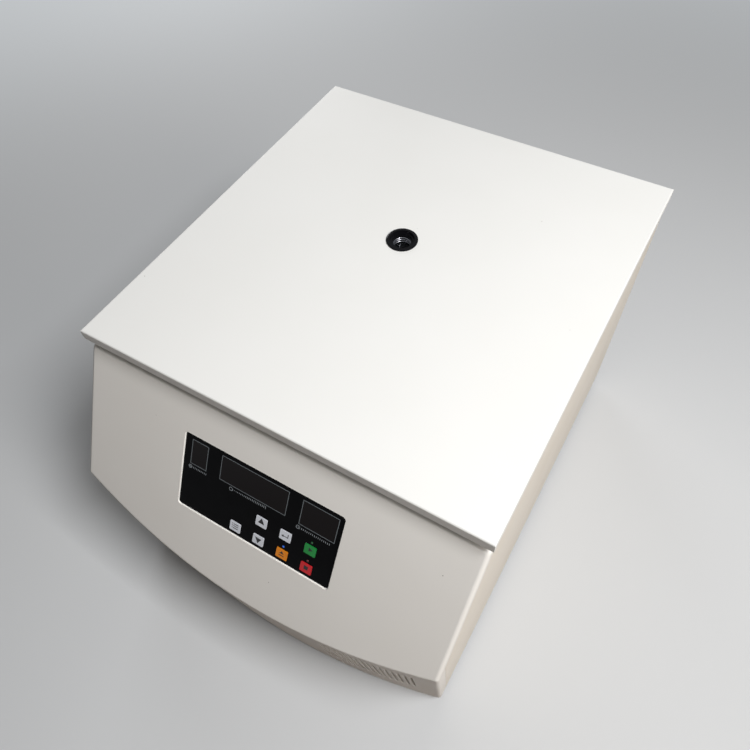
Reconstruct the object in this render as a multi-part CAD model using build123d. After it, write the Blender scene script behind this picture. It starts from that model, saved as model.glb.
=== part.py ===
from build123d import *
import os
from math import atan, cos, radians, sin, sqrt, tan

# Laboratory defoaming centrifuge, millimetres.
# +X is the operator's right, -Y is the front with the control panel, +Z is up.
# The origin is under the middle of the whole machine, on the surface it stands on.

# Housing
CASE_W = 426.0          # width over the side panels
CASE_D = 561.0          # from the middle of the bowed front to the rear face
CASE_H = 335.0          # height of the sheet metal, feet not counted
SHEET = 1.5             # housing sheet thickness
LIP_R = 8.0             # outer radius of the rolled lip between deck and slope
FOLD_R = 4.0            # outer radius of the other folded edges
SLOPE = 59.6            # front slope, degrees above horizontal
LEAN = 0.108            # the lower wall leans back by this much per mm of height
BOW = 29.2              # how far the middle of the front stands ahead of its ends
RETURN = 14.0           # depth of the front panel's folded returns
SEAM = 0.3              # visible seam between housing panels
FOOT_H = 13.0
FOOT_R = 19.0

# Lid
LID_W = 430.0
LID_D = 454.0
LID_FLANGE = 12.0
LID_SHEET = 1.2
LID_FOLD_R = 1.6
LID_GAP = 10.0          # open gap between lid flange and deck
LID_SETBACK = 6.0       # lid rear edge to housing rear face
LID_OVERHANG = 2.7      # lid front edge ahead of the deck's front fold
LINER_T = 1.5
LINER_INSET = 5.0

# Rotor axis, measured from the middle of the lid
AXIS_X = -4.0
AXIS_FROM_LID = 23.0

# Chamber
BOWL_R = 174.0
BOWL_DEPTH = 145.0
BOWL_T = 1.5
BOWL_CORNER_R = 25.0
BOWL_FLANGE = 14.0
BOSS_R = 40.0
BOSS_H = 8.0
BOSS_HOLE_R = 26.0
GUARD_T = 3.0
GASKET_W = 9.0
LID_CLEAR = 0.3         # gasket top to lid liner

# Rotor
PIN_R = 5.0             # trunnion pin
PIN_ORBIT = 98.0        # trunnion pins' distance from the axis
PIN_FIT = 0.05          # radial running clearance
HEAD_R = 122.0
HEAD_T = 26.0
HEAD_GAP = 6.0          # bucket side to the wall of its slot
HUB_R = 24.0
HUB_H = 38.0
BUCKET_R = 31.0
BUCKET_T = 2.0
BUCKET_BELOW = 60.0     # pin centre to bucket bottom
BUCKET_ABOVE = 22.0
BUCKET_CORNER_R = 12.0
BUCKET_FLOOR_GAP = 20.0
CUSHION_T = 5.0
SHAFT_R = 10.0
SHAFT_DEEP = 11.0       # how far the shaft reaches into the motor
COLLAR = 5.0
THREAD_L = 16.0
CAP_NUT_R = 15.0
CAP_NUT_GRIPS = 12
BUCKETS = 4

# Control panel, a film in a pressed recess of the slope
PANEL_W = 180.0
PANEL_H = 88.5
PANEL_T = 0.8
PANEL_SINK = 2.2        # slope face to recess floor
PANEL_CORNER_R = 4.0
PANEL_DOWN = 84.7       # fold line of the lip to panel centre, along the slope
WINDOWS = ((-0.397, 0.101), (-0.041, 0.418), (0.362, 0.208))  # middle and width, as shares of PANEL_W
WINDOW_H = 0.305 * PANEL_H
WINDOW_UP = 0.275 * PANEL_H
KEY_W = 12.4
KEY_H = 11.1
KEY_CORNER_R = 0.8
KEY_PITCH = 0.153 * PANEL_W
KEY_COL_1 = -0.108 * PANEL_W
KEY_ROW_1 = -0.127 * PANEL_H
KEY_ROW_2 = -0.383 * PANEL_H
KEY_GAP = 0.25
KEY_PROUD = 0.6
KEY_TRAVEL = 0.5
KEY_STEM_INSET = 2.0    # stem side to cap side
SWITCH_SIDE = 6.0
SWITCH_H = 1.9
LED_R = 1.3
LED_GAP = 3.05          # key edge to lamp centre
BOARD_GAP = 4.0         # recess sheet to key board
BOARD_T = 1.6
BOARD_INSET = 5.0
STANDOFF_R = 3.0
MODULE_INSET = 1.5
LENS_SUNK = 0.15

# Front grille, one group at each end of the lower wall
SLOT_W = 3.0
SLOT_L = 92.0
SLOT_PITCH = 6.4
SLOT_COUNT = 16
SLOT_OUTER_X = 187.0
SLOT_DROP = 26.0        # ridge line to slot tops
GRILLE_BACK_T = 1.8     # stiffening plate behind each group
GRILLE_BACK_EDGE = 7.0  # slot ends to plate edge

# Sight port
PORT_R = 16.5
PORT_BORE_R = 9.0
PORT_PROUD = 1.6
PORT_GLASS_T = 3.0
PORT_NECK_R = 13.3      # through the lid's sheets
PORT_HOLE_GAP = 0.3
PORT_BELOW = 6.0        # bushing's lower end below the liner
PORT_RINGS = 3
PORT_RING_PITCH = 2.4
NUT_T = 5.0
NUT_R = 17.5

# Drive
PLATE_T = 6.0
MOTOR_R = 68.0
MOTOR_H = 104.0
MOTOR_BOSS_R = 30.0
MOTOR_BOSS_H = 14.0     # above the motor plate
FIN_FIRST = 16.0
FIN_PITCH = 9.0
FIN_GAP = 4.0
FIN_DEEP = 5.0
MOTOR_FINS = 9
CAP_H = 14.0
CAP_SLOT_L = 26.0
CAP_SLOTS = 12
BOOT_T = 3.0
BOOT_GRIP = 5.0         # how far the boot's cuffs reach past boss and hole
ISOLATOR_R = 14.0
ISOLATOR_H = 26.0
POST_R = 9.0
POST_X = 98.0
POST_Y = 84.0
PAN_T = 2.0
PAN_FLANGE = 26.0
WIRING_GAP = 24.0       # fan frame to the drive unit behind it
DRIVE_W = 60.0
DRIVE_D = 130.0
DRIVE_H = 84.0
DRIVE_EDGE = 12.0       # housing side to drive unit
DRIVE_FIN_L = 18.0
DRIVE_FIN_T = 3.0
DRIVE_FINS = 9
FILTER_W = 52.0
FILTER_D = 70.0
FILTER_H = 30.0
FILTER_EAR = 12.0
FILTER_ASIDE = 14.0     # inlet's middle to the filter's near side
FILTER_SETBACK = 60.0   # rear face to filter can

# Hinges
HINGE_X = 130.0
HINGE_PIN_R = 2.5
KNUCKLE_R = 4.5
KNUCKLE_L = 18.0
HINGE_LEAF_T = 1.5
HINGE_UP = 8.0          # pin centre above the deck
LEAF_W = 60.0
LEAF_H = 38.0           # pin centre to the fixed leaf's lower edge

# Screws
SCREW_R = 2.0
SCREW_HEAD_R = 3.9
SCREW_HEAD_H = 2.4
SCREW_FIT = 0.2
RECESS_W = 0.9          # the head's cross recess
RECESS_DEEP = 1.4
REAR_FLANGE = 16.0      # wrap's inner flange that the rear panel is screwed to
REAR_SCREWS = 5         # on each side
SMALL_SCREW_R = 1.5
SMALL_HEAD_R = 2.8
SMALL_HEAD_H = 1.8

# Lock
STRIKER_T = 3.0
STRIKER_W = 22.0
STRIKER_DOWN = 34.0
STRIKER_Y = 30.0        # behind the lip fold
BOLT_R = 4.5
BOLT_TRAVEL = 14.0
BOLT_TIP_GAP = 4.0      # retracted tip to striker
SOLENOID_L = 42.0
SOLENOID_R = 13.0

# Rear panel equipment
FAN_SIZE = 80.0
FAN_T = 25.0
FAN_BORE_R = 38.0
FAN_X = -100.0
FAN_Z = 120.0
FAN_HUB_R = 16.0
FAN_BLADES = 7
FAN_SETBACK = 5.0       # wheel behind the inner face of the rear panel
GUARD_OFF = 3.0         # rear face to finger guard
GUARD_T_FAN = 2.0
GUARD_RING_W = 2.0
GUARD_RING_PITCH = 7.0
GUARD_RINGS = 5
GUARD_EYE = 4.5         # frame edge to screw centre
GUARD_EYE_R = 4.0
INLET_X = 120.0
INLET_Z = 80.0
INLET_W = 30.0
INLET_H = 24.0
ROCKER_Z = 122.0
ROCKER_W = 13.0
ROCKER_H = 20.0
ROCKER_DEEP = 4.0       # pivot behind the rear face
ROCKER_PIN_R = 1.5
ROCKER_TILT = 10.0      # degrees to either side of level
LOUVRE_W = 3.5
LOUVRE_L = 70.0
LOUVRE_PITCH = 11.0
LOUVRE_COUNT = 8

# Derived positions; the fan guard stands furthest behind the rear face
REAR_PROUD = GUARD_OFF + GUARD_T_FAN
FRONT_Y = -(CASE_D + REAR_PROUD) / 2
REAR_Y = FRONT_Y + CASE_D
BASE_Z = FOOT_H
DECK_Z = BASE_Z + CASE_H
LID_TOP = DECK_Z + LID_GAP + LID_FLANGE
LID_REAR = REAR_Y - LID_SETBACK
LID_Y = LID_REAR - LID_D / 2
LIP_Y = LID_REAR - LID_D + LID_OVERHANG
AXIS_Y = LID_Y + AXIS_FROM_LID
HALF = CASE_W / 2
SLOPE_TAN = tan(radians(SLOPE))
TILT = atan(LEAN)
BOW_R = (HALF ** 2 + (BOW * cos(TILT)) ** 2) / (2 * BOW * cos(TILT))
RIDGE_Z = DECK_Z - (LIP_Y - FRONT_Y) * SLOPE_TAN
FLOOR_Z = DECK_Z - BOWL_DEPTH
RIM_Z = DECK_Z + BOWL_T
LINER_Z = DECK_Z + LID_GAP - 1.0
PIN_Z = FLOOR_Z + BUCKET_FLOOR_GAP + BUCKET_BELOW
HEAD_Z = PIN_Z - HEAD_T / 2
HUB_Z = HEAD_Z - HUB_H
PLATE_Z = FLOOR_Z - 42.0
PAN_Z = BASE_Z + SHEET
HINGE_Y = REAR_Y
HINGE_Z = DECK_Z + HINGE_UP
LOCK_Y = LIP_Y + STRIKER_Y
BOLT_Z = LINER_Z - STRIKER_DOWN + 10.0
SLOT_HALF = BUCKET_R + HEAD_GAP
KEYS = {
    "key_function": (0, 1),
    "key_up": (1, 0),
    "key_down": (1, 1),
    "key_enter": (2, 0),
    "key_open": (2, 1),
    "key_start": (3, 0),
    "key_stop": (3, 1),
}
LIT_KEYS = ("key_open", "key_start", "key_stop")
LED_UP = KEY_H / 2 + LED_GAP
SLOPE_SIN = sin(radians(SLOPE))
SLOPE_COS = cos(radians(SLOPE))
PANEL = Plane(          # on the recess floor, its Z out of the slope
    origin=(
        0,
        LIP_Y - PANEL_DOWN * SLOPE_COS + PANEL_SINK * SLOPE_SIN,
        DECK_Z - PANEL_DOWN * SLOPE_SIN - PANEL_SINK * SLOPE_COS,
    ),
    x_dir=(1, 0, 0),
    z_dir=(0, -SLOPE_SIN, SLOPE_COS),
)


def block(x0, x1, y0, y1, z0, z1):
    """A box between two corners."""
    centre = Pos((x0 + x1) / 2, (y0 + y1) / 2, (z0 + z1) / 2)
    return centre * Box(x1 - x0, y1 - y0, z1 - z0)


def rod(x, y, z0, z1, radius):
    """An upright cylinder."""
    return Pos(x, y, (z0 + z1) / 2) * Cylinder(radius, z1 - z0)


def bar_x(x0, x1, y, z, radius):
    """A cylinder along X."""
    return Pos((x0 + x1) / 2, y, z) * Rot(0, 90, 0) * Cylinder(radius, x1 - x0)


def bar_y(x, y0, y1, z, radius):
    """A cylinder along Y."""
    return Pos(x, (y0 + y1) / 2, z) * Rot(90, 0, 0) * Cylinder(radius, y1 - y0)


def turned(points, rounds=()):
    """A profile of (radius, height) points turned about the rotor axis; rounds are (r, z, radius)."""
    face = make_face(Plane.XZ * Polyline(*points, close=True))
    for r, z, radius in rounds:
        corner = face.vertices().sort_by_distance((r, 0, z))[0]
        face = fillet(corner, radius)
    return Pos(AXIS_X, AXIS_Y, 0) * revolve(face, Axis.Z)


def set_back(x):
    """How far the bowed wall falls back at x, in a level section."""
    return (BOW_R - sqrt(BOW_R ** 2 - x ** 2)) / cos(TILT)


def wall_y(x, z):
    """Outer face of the bowed lower wall."""
    return FRONT_Y + (RIDGE_Z - z) * LEAN + set_back(x)


def ridge_z(x):
    """Height of the ridge between slope and lower wall."""
    return RIDGE_Z + set_back(x) / (1 / SLOPE_TAN + LEAN)


def lip_at(inset):
    """Where the deck plane and the slope plane meet, both moved inwards by inset."""
    return LIP_Y + inset * tan(radians(SLOPE / 2))


def bare_form(inset, rear, floor):
    """The housing's closed outer form, moved inwards by inset, with sharp edges."""
    half = HALF - inset
    top = DECK_Z - inset
    lip = lip_at(inset)
    far = FRONT_Y - 60
    side = Polyline(
        (rear, floor),
        (rear, top),
        (lip, top),
        (far, top - (lip - far) * SLOPE_TAN),
        (far, floor),
        close=True,
    )
    prism = extrude(make_face(Plane.YZ * side), half, both=True)
    radius = BOW_R - inset
    wide = half + 10
    end = radius - sqrt(radius ** 2 - wide ** 2)
    deep = 1.3 * CASE_D
    wall = Plane(
        origin=(0, FRONT_Y + inset / cos(TILT), RIDGE_Z),
        x_dir=(1, 0, 0),
        z_dir=(0, -sin(TILT), cos(TILT)),
    )
    bow = ThreePointArc((-wide, end), (0, 0), (wide, end))
    bow += Polyline((wide, end), (wide, deep), (-wide, deep), (-wide, end))
    return prism & extrude(wall * make_face(bow), 1.3 * CASE_H, both=True)


def case_form(inset, rear, floor):
    """The same form with its rolled lip and folded edges."""
    form = bare_form(inset, rear, floor)
    lip_edge = [e for e in form.edges() if is_at(e, DECK_Z - inset, lip_at(inset))]
    form = fillet(lip_edge, LIP_R - inset)
    folds = [e for e in form.edges() if is_fold(e, HALF - inset, rear, floor)]
    return fillet(folds, FOLD_R - inset)


def is_at(edge, z, y):
    c = edge.center()
    return abs(c.Z - z) < 0.01 and abs(c.Y - y) < 0.01


def is_fold(edge, half, rear, floor):
    """True for the edges along both sides and for the curved ridge."""
    c = edge.center()
    on_side = abs(abs(c.X) - half) < 0.01 and c.Y < rear - 1 and c.Z > floor + 1
    on_ridge = edge.geom_type != GeomType.LINE and abs(c.X) < 1 and floor + 1 < c.Z < RIDGE_Z + BOW
    return on_side or on_ridge


def behind_seam(shift):
    """Everything behind the seam between the front panel and the wrap."""
    low = BASE_Z - 30
    high = DECK_Z + 30
    knee = ridge_z(HALF)

    def slope_y(z):
        return LIP_Y - (DECK_Z - z) / SLOPE_TAN + shift

    outline = Polyline(
        (REAR_Y + 30, low),
        (REAR_Y + 30, high),
        (slope_y(high), high),
        (slope_y(knee), knee),
        (wall_y(HALF, low) + shift, low),
        close=True,
    )
    return extrude(make_face(Plane.YZ * outline), HALF + 20, both=True)


def housing_shell():
    outer = case_form(0, REAR_Y, BASE_Z)
    inner = case_form(SHEET, REAR_Y + 20, BASE_Z - 20)
    return outer - inner


def body_wrap(shell):
    """Both side panels and the top deck, folded from one sheet, with the round chamber opening."""
    wrap = shell & behind_seam(RETURN + SEAM / 2)
    y1 = REAR_Y - SHEET - SEAM
    y0 = y1 - SHEET
    top = DECK_Z - SHEET
    wrap += block(FOLD_R - HALF, HALF - FOLD_R, y0, y1, top - REAR_FLANGE, top)
    for side in (-1, 1):
        x0, x1 = sorted((side * (HALF - SHEET), side * (HALF - SHEET - REAR_FLANGE)))
        wrap += block(x0, x1, y0, y1, PAN_Z + PAN_FLANGE + SEAM, DECK_Z - FOLD_R)
    wrap -= rod(AXIS_X, AXIS_Y, DECK_Z - 10, DECK_Z + 10, BOWL_R + BOWL_T + 1)
    slot = block(
        -STRIKER_T / 2 - 3, STRIKER_T / 2 + 3,
        LOCK_Y - STRIKER_W / 2 - 5, LOCK_Y + STRIKER_W / 2 + 3,
        DECK_Z - 10, DECK_Z + 10,
    )
    return wrap - slot - screw_holes()


def front_panel(shell):
    """Slope with the film's recess, lip and bowed lower wall in one sheet, with its cut-outs."""
    front = shell - behind_seam(RETURN - SEAM / 2)
    inner = bare_form(SHEET, REAR_Y + 20, BASE_Z)
    edge = inner - bare_form(SHEET + RETURN - 2, REAR_Y + 20, BASE_Z)
    edge &= block(-HALF, HALF, FRONT_Y, AXIS_Y, BASE_Z, BASE_Z + SHEET)
    front += edge - behind_seam(RETURN - SEAM / 2)
    rim = 2 * SHEET
    radius = PANEL_CORNER_R
    front += panel_slab(0, 0, PANEL_W + rim, PANEL_H + rim, radius + SHEET, -SHEET, PANEL_SINK - SHEET / 2)
    front -= panel_slab(0, 0, PANEL_W, PANEL_H, radius, 0, PANEL_SINK + SHEET)
    for share, width in WINDOWS:
        front -= panel_box(share * PANEL_W, WINDOW_UP, width * PANEL_W - 2, WINDOW_H - 2, -10, 10)
    for column, row in KEYS.values():
        u, v = key_place(column, row)
        front -= panel_box(u, v, KEY_W - 2, KEY_H - 2, -10, 10)
    for name in LIT_KEYS:
        u, v = key_place(*KEYS[name])
        front -= PANEL * Pos(u, v + LED_UP, 0) * Cylinder(LED_R + 0.2, 20)
    return front + grille_backs() - grille_cutters()


def grille_backs():
    """A plate behind each group of slots, so that the slots are deep and the wall stays stiff."""
    plate = bare_form(SHEET, REAR_Y, BASE_Z) - bare_form(SHEET + GRILLE_BACK_T, REAR_Y, BASE_Z)
    last_x = SLOT_OUTER_X - (SLOT_COUNT - 1) * SLOT_PITCH
    inner_x = last_x - GRILLE_BACK_EDGE
    outer_x = SLOT_OUTER_X + GRILLE_BACK_EDGE
    top = ridge_z(SLOT_OUTER_X) - SLOT_DROP + GRILLE_BACK_EDGE
    low = ridge_z(last_x) - SLOT_DROP - SLOT_L - GRILLE_BACK_EDGE
    rear = wall_y(HALF, low) + GRILLE_BACK_EDGE
    backs = []
    for side in (-1, 1):
        x0, x1 = sorted((side * inner_x, side * outer_x))
        backs += (plate & block(x0, x1, FRONT_Y, rear, low, top)).solids()
    return backs


def grille_cutters():
    """Round-ended slots whose tops follow the ridge line, in a group at each side."""
    cutters = []
    for i in range(SLOT_COUNT):
        x = SLOT_OUTER_X - i * SLOT_PITCH
        z = ridge_z(x) - SLOT_DROP - SLOT_L / 2
        shape = Rot(0, 0, 90) * SlotOverall(SLOT_L, SLOT_W)
        for side in (-1, 1):
            place = Pos(side * x, wall_y(x, z), z) * Rot(90, 0, 0)
            cutters.append(place * extrude(shape, 12, both=True))
    return Compound(children=cutters)


def rear_screw_places():
    """Down both sides of the rear panel, and two at its upper edge."""
    side_x = HALF - SHEET - REAR_FLANGE / 2
    low = PAN_Z + PAN_FLANGE + REAR_FLANGE
    pitch = (DECK_Z - 2 * REAR_FLANGE - low) / (REAR_SCREWS - 1)
    places = [(side * side_x, low + i * pitch) for side in (-1, 1) for i in range(REAR_SCREWS)]
    top_z = DECK_Z - SHEET - REAR_FLANGE / 2
    return places + [(side * HINGE_X / 3, top_z) for side in (-1, 1)]


def leaf_screw_places():
    """Two in each fixed hinge leaf, through the rear panel into the wrap's upper flange."""
    z = DECK_Z - SHEET - REAR_FLANGE / 2
    return [(x + side * LEAF_W / 3, z) for x in hinge_centres() for side in (-1, 1)]


def screw_holes():
    """Clear holes through rear panel, hinge leaves and the wrap's rear flange."""
    holes = []
    for x, z in rear_screw_places() + leaf_screw_places():
        holes.append(bar_y(x, REAR_Y - 10, REAR_Y + 10, z, SCREW_R + SCREW_FIT))
    return Compound(children=holes)


def pan_screw(radius, head_r, head_h, length):
    """A screw along Z: rounded head with a cross recess above zero, plain shank below it."""
    head = Pos(0, 0, head_h / 2) * Cylinder(head_r, head_h)
    rim = [e for e in head.edges() if e.geom_type == GeomType.CIRCLE and e.center().Z > head_h - 0.1]
    head = fillet(rim, head_h / 2)
    deep = Pos(0, 0, head_h)
    for turn in (0, 90):
        head -= deep * Rot(0, 0, turn) * Box(1.1 * head_r, RECESS_W, RECESS_DEEP)
    return head + Pos(0, 0, -length / 2) * Cylinder(radius, length)


def case_screws():
    """Rear panel, hinge and finger guard screws, heads to the rear."""
    screw = Rot(-90, 0, 0) * pan_screw(SCREW_R, SCREW_HEAD_R, SCREW_HEAD_H, 3 * SHEET)
    solids = [Pos(x, REAR_Y, z) * screw for x, z in rear_screw_places()]
    solids += [Pos(x, REAR_Y + HINGE_LEAF_T, z) * screw for x, z in leaf_screw_places()]
    return Compound(children=solids)


def lid_screws():
    """Two small screws in each lid hinge leaf."""
    screw = Rot(-90, 0, 0) * pan_screw(SMALL_SCREW_R, SMALL_HEAD_R, SMALL_HEAD_H, 2 * HINGE_LEAF_T)
    y = LID_REAR + HINGE_LEAF_T
    return Compound(children=[Pos(x, y, lid_screw_z()) * screw for x in lid_screw_xs()])


def lid_screw_xs():
    return [x + side * LEAF_W / 3 for x in hinge_centres() for side in (-1, 1)]


def lid_screw_z():
    return (HINGE_Z + LID_TOP) / 2 + 1


def lid_screw_holes():
    """Clear holes through the lid's rear flange and its hinge leaves."""
    holes = []
    for x in lid_screw_xs():
        holes.append(bar_y(x, LID_REAR - 5, LID_REAR + 5, lid_screw_z(), SMALL_SCREW_R + SCREW_FIT))
    return Compound(children=holes)


def rear_panel():
    """Removable back with louvres and the openings for fan, inlet and switch."""
    half = HALF - SHEET - SEAM
    top = DECK_Z - SHEET - SEAM
    low = PAN_Z
    plate = block(-half, half, REAR_Y - SHEET, REAR_Y, low, top)
    corners = [e for e in plate.edges().filter_by(Axis.Y) if e.center().Z > top - 1]
    plate = fillet(corners, FOLD_R - SHEET)
    plate -= screw_holes()
    plate -= bar_y(FAN_X, REAR_Y - 10, REAR_Y + 10, FAN_Z, FAN_BORE_R)
    plate -= block(
        INLET_X - INLET_W / 2, INLET_X + INLET_W / 2,
        REAR_Y - 10, REAR_Y + 10,
        INLET_Z - INLET_H / 2, INLET_Z + INLET_H / 2,
    )
    plate -= block(
        INLET_X - ROCKER_W / 2 - 1.5, INLET_X + ROCKER_W / 2 + 1.5,
        REAR_Y - 10, REAR_Y + 10,
        ROCKER_Z - ROCKER_H / 2 - 1.5, ROCKER_Z + ROCKER_H / 2 + 1.5,
    )
    cutters = []
    for i in range(LOUVRE_COUNT):
        z = FAN_Z + FAN_SIZE / 2 + 24 + i * LOUVRE_PITCH
        for x in (-100, 0, 100):
            place = Pos(x, REAR_Y, z) * Rot(90, 0, 0)
            cutters.append(place * extrude(SlotOverall(LOUVRE_L, LOUVRE_W), 5, both=True))
    return plate - Compound(children=cutters)


def base_pan():
    """Folded floor tray that carries motor, drive unit and feet."""
    rear = REAR_Y - SHEET - SEAM
    form = case_form(SHEET + SEAM, rear, PAN_Z)
    inner = bare_form(SHEET + SEAM + PAN_T, rear - PAN_T, PAN_Z)
    tray = form & block(-HALF, HALF, FRONT_Y, REAR_Y, PAN_Z, PAN_Z + PAN_FLANGE)
    tray -= inner & block(-HALF, HALF, FRONT_Y, REAR_Y, PAN_Z + PAN_T, PAN_Z + PAN_FLANGE + 1)
    cutters = []
    for i in range(9):
        place = Pos(AXIS_X - 64 + i * 16, AXIS_Y, PAN_Z)
        cutters.append(place * Rot(0, 0, 90) * extrude(SlotOverall(80, 3.5), 6, both=True))
    return tray - Compound(children=cutters)


def feet():
    """Four rubber feet, tapered, under the pan."""
    low = PAN_Z
    solids = []
    for x in (-HALF + 45, HALF - 45):
        for y in (wall_y(HALF, BASE_Z) + 45, REAR_Y - 45):
            foot = Pos(x, y, low / 2) * Cone(FOOT_R - 3, FOOT_R, low)
            solids.append(foot)
    return Compound(children=solids)


def chamber_bowl():
    """Spun bowl with rolled floor corner, rim flange and raised centre hole."""
    t = BOWL_T
    return turned(
        (
            (BOSS_HOLE_R, FLOOR_Z + BOSS_H),
            (BOSS_R, FLOOR_Z + BOSS_H),
            (BOSS_R + 6, FLOOR_Z),
            (BOWL_R, FLOOR_Z),
            (BOWL_R, RIM_Z),
            (BOWL_R + BOWL_FLANGE, RIM_Z),
            (BOWL_R + BOWL_FLANGE, DECK_Z),
            (BOWL_R + t, DECK_Z),
            (BOWL_R + t, FLOOR_Z - t),
            (BOSS_R + 6 - t, FLOOR_Z - t),
            (BOSS_R - t, FLOOR_Z + BOSS_H - t),
            (BOSS_HOLE_R, FLOOR_Z + BOSS_H - t),
        ),
        ((BOWL_R, FLOOR_Z, BOWL_CORNER_R), (BOWL_R + t, FLOOR_Z - t, BOWL_CORNER_R + t)),
    )


def chamber_gasket():
    """Soft ring on the bowl's rim that the closed lid presses."""
    inner = BOWL_R + (BOWL_FLANGE - GASKET_W) / 2
    outer = inner + GASKET_W
    top = LINER_Z - LID_CLEAR
    return turned(
        ((inner, RIM_Z), (outer, RIM_Z), (outer, top), (inner, top)),
        ((outer, top, 3), (inner, top, 3)),
    )


def guard_ring():
    """Thick steel ring round the bowl that holds a broken rotor in."""
    inner = BOWL_R + BOWL_T + 4
    outer = inner + GUARD_T
    low = FLOOR_Z + 10
    top = DECK_Z - SHEET
    return turned(((inner, low), (outer, low), (outer, top), (inner, top)))


def boot_seal():
    """Rubber bellows between the motor boss and the bowl's centre hole."""
    low = PLATE_Z + PLATE_T + MOTOR_BOSS_H - 2.5 * BOOT_T
    sheet_low = FLOOR_Z + BOSS_H - BOWL_T
    boss = MOTOR_BOSS_R + BOOT_GRIP / 50
    hole = BOSS_HOLE_R - BOOT_GRIP / 50
    waist = low + (sheet_low - low) * 0.6
    return turned(
        (
            (boss, low),
            (boss + BOOT_GRIP, low),
            (boss + BOOT_GRIP, low + 3.5 * BOOT_T),
            (hole - BOOT_T * 0.6, waist),
            (hole, sheet_low - BOOT_T),
            (hole + BOOT_GRIP, sheet_low - BOOT_T),
            (hole + BOOT_GRIP, sheet_low),
            (hole, sheet_low),
            (hole, sheet_low + BOWL_T + BOOT_T * 0.7),
            (hole - BOOT_T, sheet_low + BOWL_T + BOOT_T * 0.7),
            (hole - BOOT_T, sheet_low - 1.3 * BOOT_T),
            (hole - 1.6 * BOOT_T, waist),
            (boss, low + 2.5 * BOOT_T),
        ),
    )


def motor_plate():
    """Thick plate on the rubber isolators, with corner radii and the motor's pilot hole."""
    half_x = POST_X + 22
    half_y = POST_Y + 22
    plate = Pos(AXIS_X, AXIS_Y, PLATE_Z) * extrude(RectangleRounded(2 * half_x, 2 * half_y, 20), PLATE_T)
    plate -= rod(AXIS_X, AXIS_Y, PLATE_Z - 1, PLATE_Z + PLATE_T + 1, MOTOR_BOSS_R)
    for side in (-1, 1):
        slot = Pos(AXIS_X + side * (MOTOR_R + 14), AXIS_Y, PLATE_Z) * Rot(0, 0, 90)
        plate -= slot * extrude(SlotOverall(70, 14), PLATE_T * 2, both=True)
    return plate


def post_places():
    return [(AXIS_X + sx * POST_X, AXIS_Y + sy * POST_Y) for sx in (-1, 1) for sy in (-1, 1)]


def isolators():
    """Waisted rubber mounts between posts and motor plate."""
    top = PLATE_Z
    low = top - ISOLATOR_H
    solids = []
    for x, y in post_places():
        mount = rod(x, y, low, top, ISOLATOR_R)
        groove = Pos(x, y, (low + top) / 2) * Torus(ISOLATOR_R + 5, 7)
        solids.append(mount - groove)
    return Compound(children=solids)


def posts():
    """Steel posts from the pan to the isolators, each with a foot flange."""
    low = PAN_Z + PAN_T
    top = PLATE_Z - ISOLATOR_H
    solids = []
    for x, y in post_places():
        solids.append(rod(x, y, low, top, POST_R) + rod(x, y, low, low + 4, POST_R + 8))
    return Compound(children=solids)


def motor_housing():
    """Finned motor body with pilot boss and the upper bearing's bore."""
    top = PLATE_Z
    low = top - MOTOR_H
    body = rod(AXIS_X, AXIS_Y, low, top, MOTOR_R)
    grooves = []
    for i in range(MOTOR_FINS):
        z = low + FIN_FIRST + i * FIN_PITCH
        ring = rod(AXIS_X, AXIS_Y, z, z + FIN_GAP, MOTOR_R + 1)
        grooves.append(ring - rod(AXIS_X, AXIS_Y, z, z + FIN_GAP, MOTOR_R - FIN_DEEP))
    body -= Compound(children=grooves)
    boss_top = top + PLATE_T + MOTOR_BOSS_H
    body += rod(AXIS_X, AXIS_Y, top, boss_top, MOTOR_BOSS_R)
    return body - rod(AXIS_X, AXIS_Y, top - SHAFT_DEEP - 1, boss_top + 1, SHAFT_R + PIN_FIT)


def motor_end_cap():
    """Domed lower cover of the motor with its cooling slots."""
    top = PLATE_Z - MOTOR_H
    low = top - CAP_H
    edge = 0.97 * MOTOR_R
    cap = turned(
        ((0, top), (edge, top), (edge, low), (0, low)),
        ((edge, low, 0.4 * CAP_H),),
    )
    for i in range(CAP_SLOTS):
        turn = Pos(AXIS_X, AXIS_Y, low) * Rot(0, 0, i * 360 / CAP_SLOTS)
        cap -= turn * Pos(0.65 * MOTOR_R, 0, 0) * Box(CAP_SLOT_L, FIN_GAP, 0.6 * CAP_H)
    return cap


def spindle():
    """Motor shaft with seat collar, locating cone and threaded end."""
    low = PLATE_Z - SHAFT_DEEP
    top = HEAD_Z + HEAD_T
    return turned(
        (
            (0, low),
            (SHAFT_R, low),
            (SHAFT_R, HUB_Z - COLLAR),
            (SHAFT_R + COLLAR, HUB_Z - COLLAR),
            (SHAFT_R + COLLAR, HUB_Z),
            (SHAFT_R, HUB_Z),
            (0.7 * SHAFT_R, top),
            (0.6 * SHAFT_R, top),
            (0.6 * SHAFT_R, top + THREAD_L),
            (0, top + THREAD_L),
        ),
    )


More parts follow.
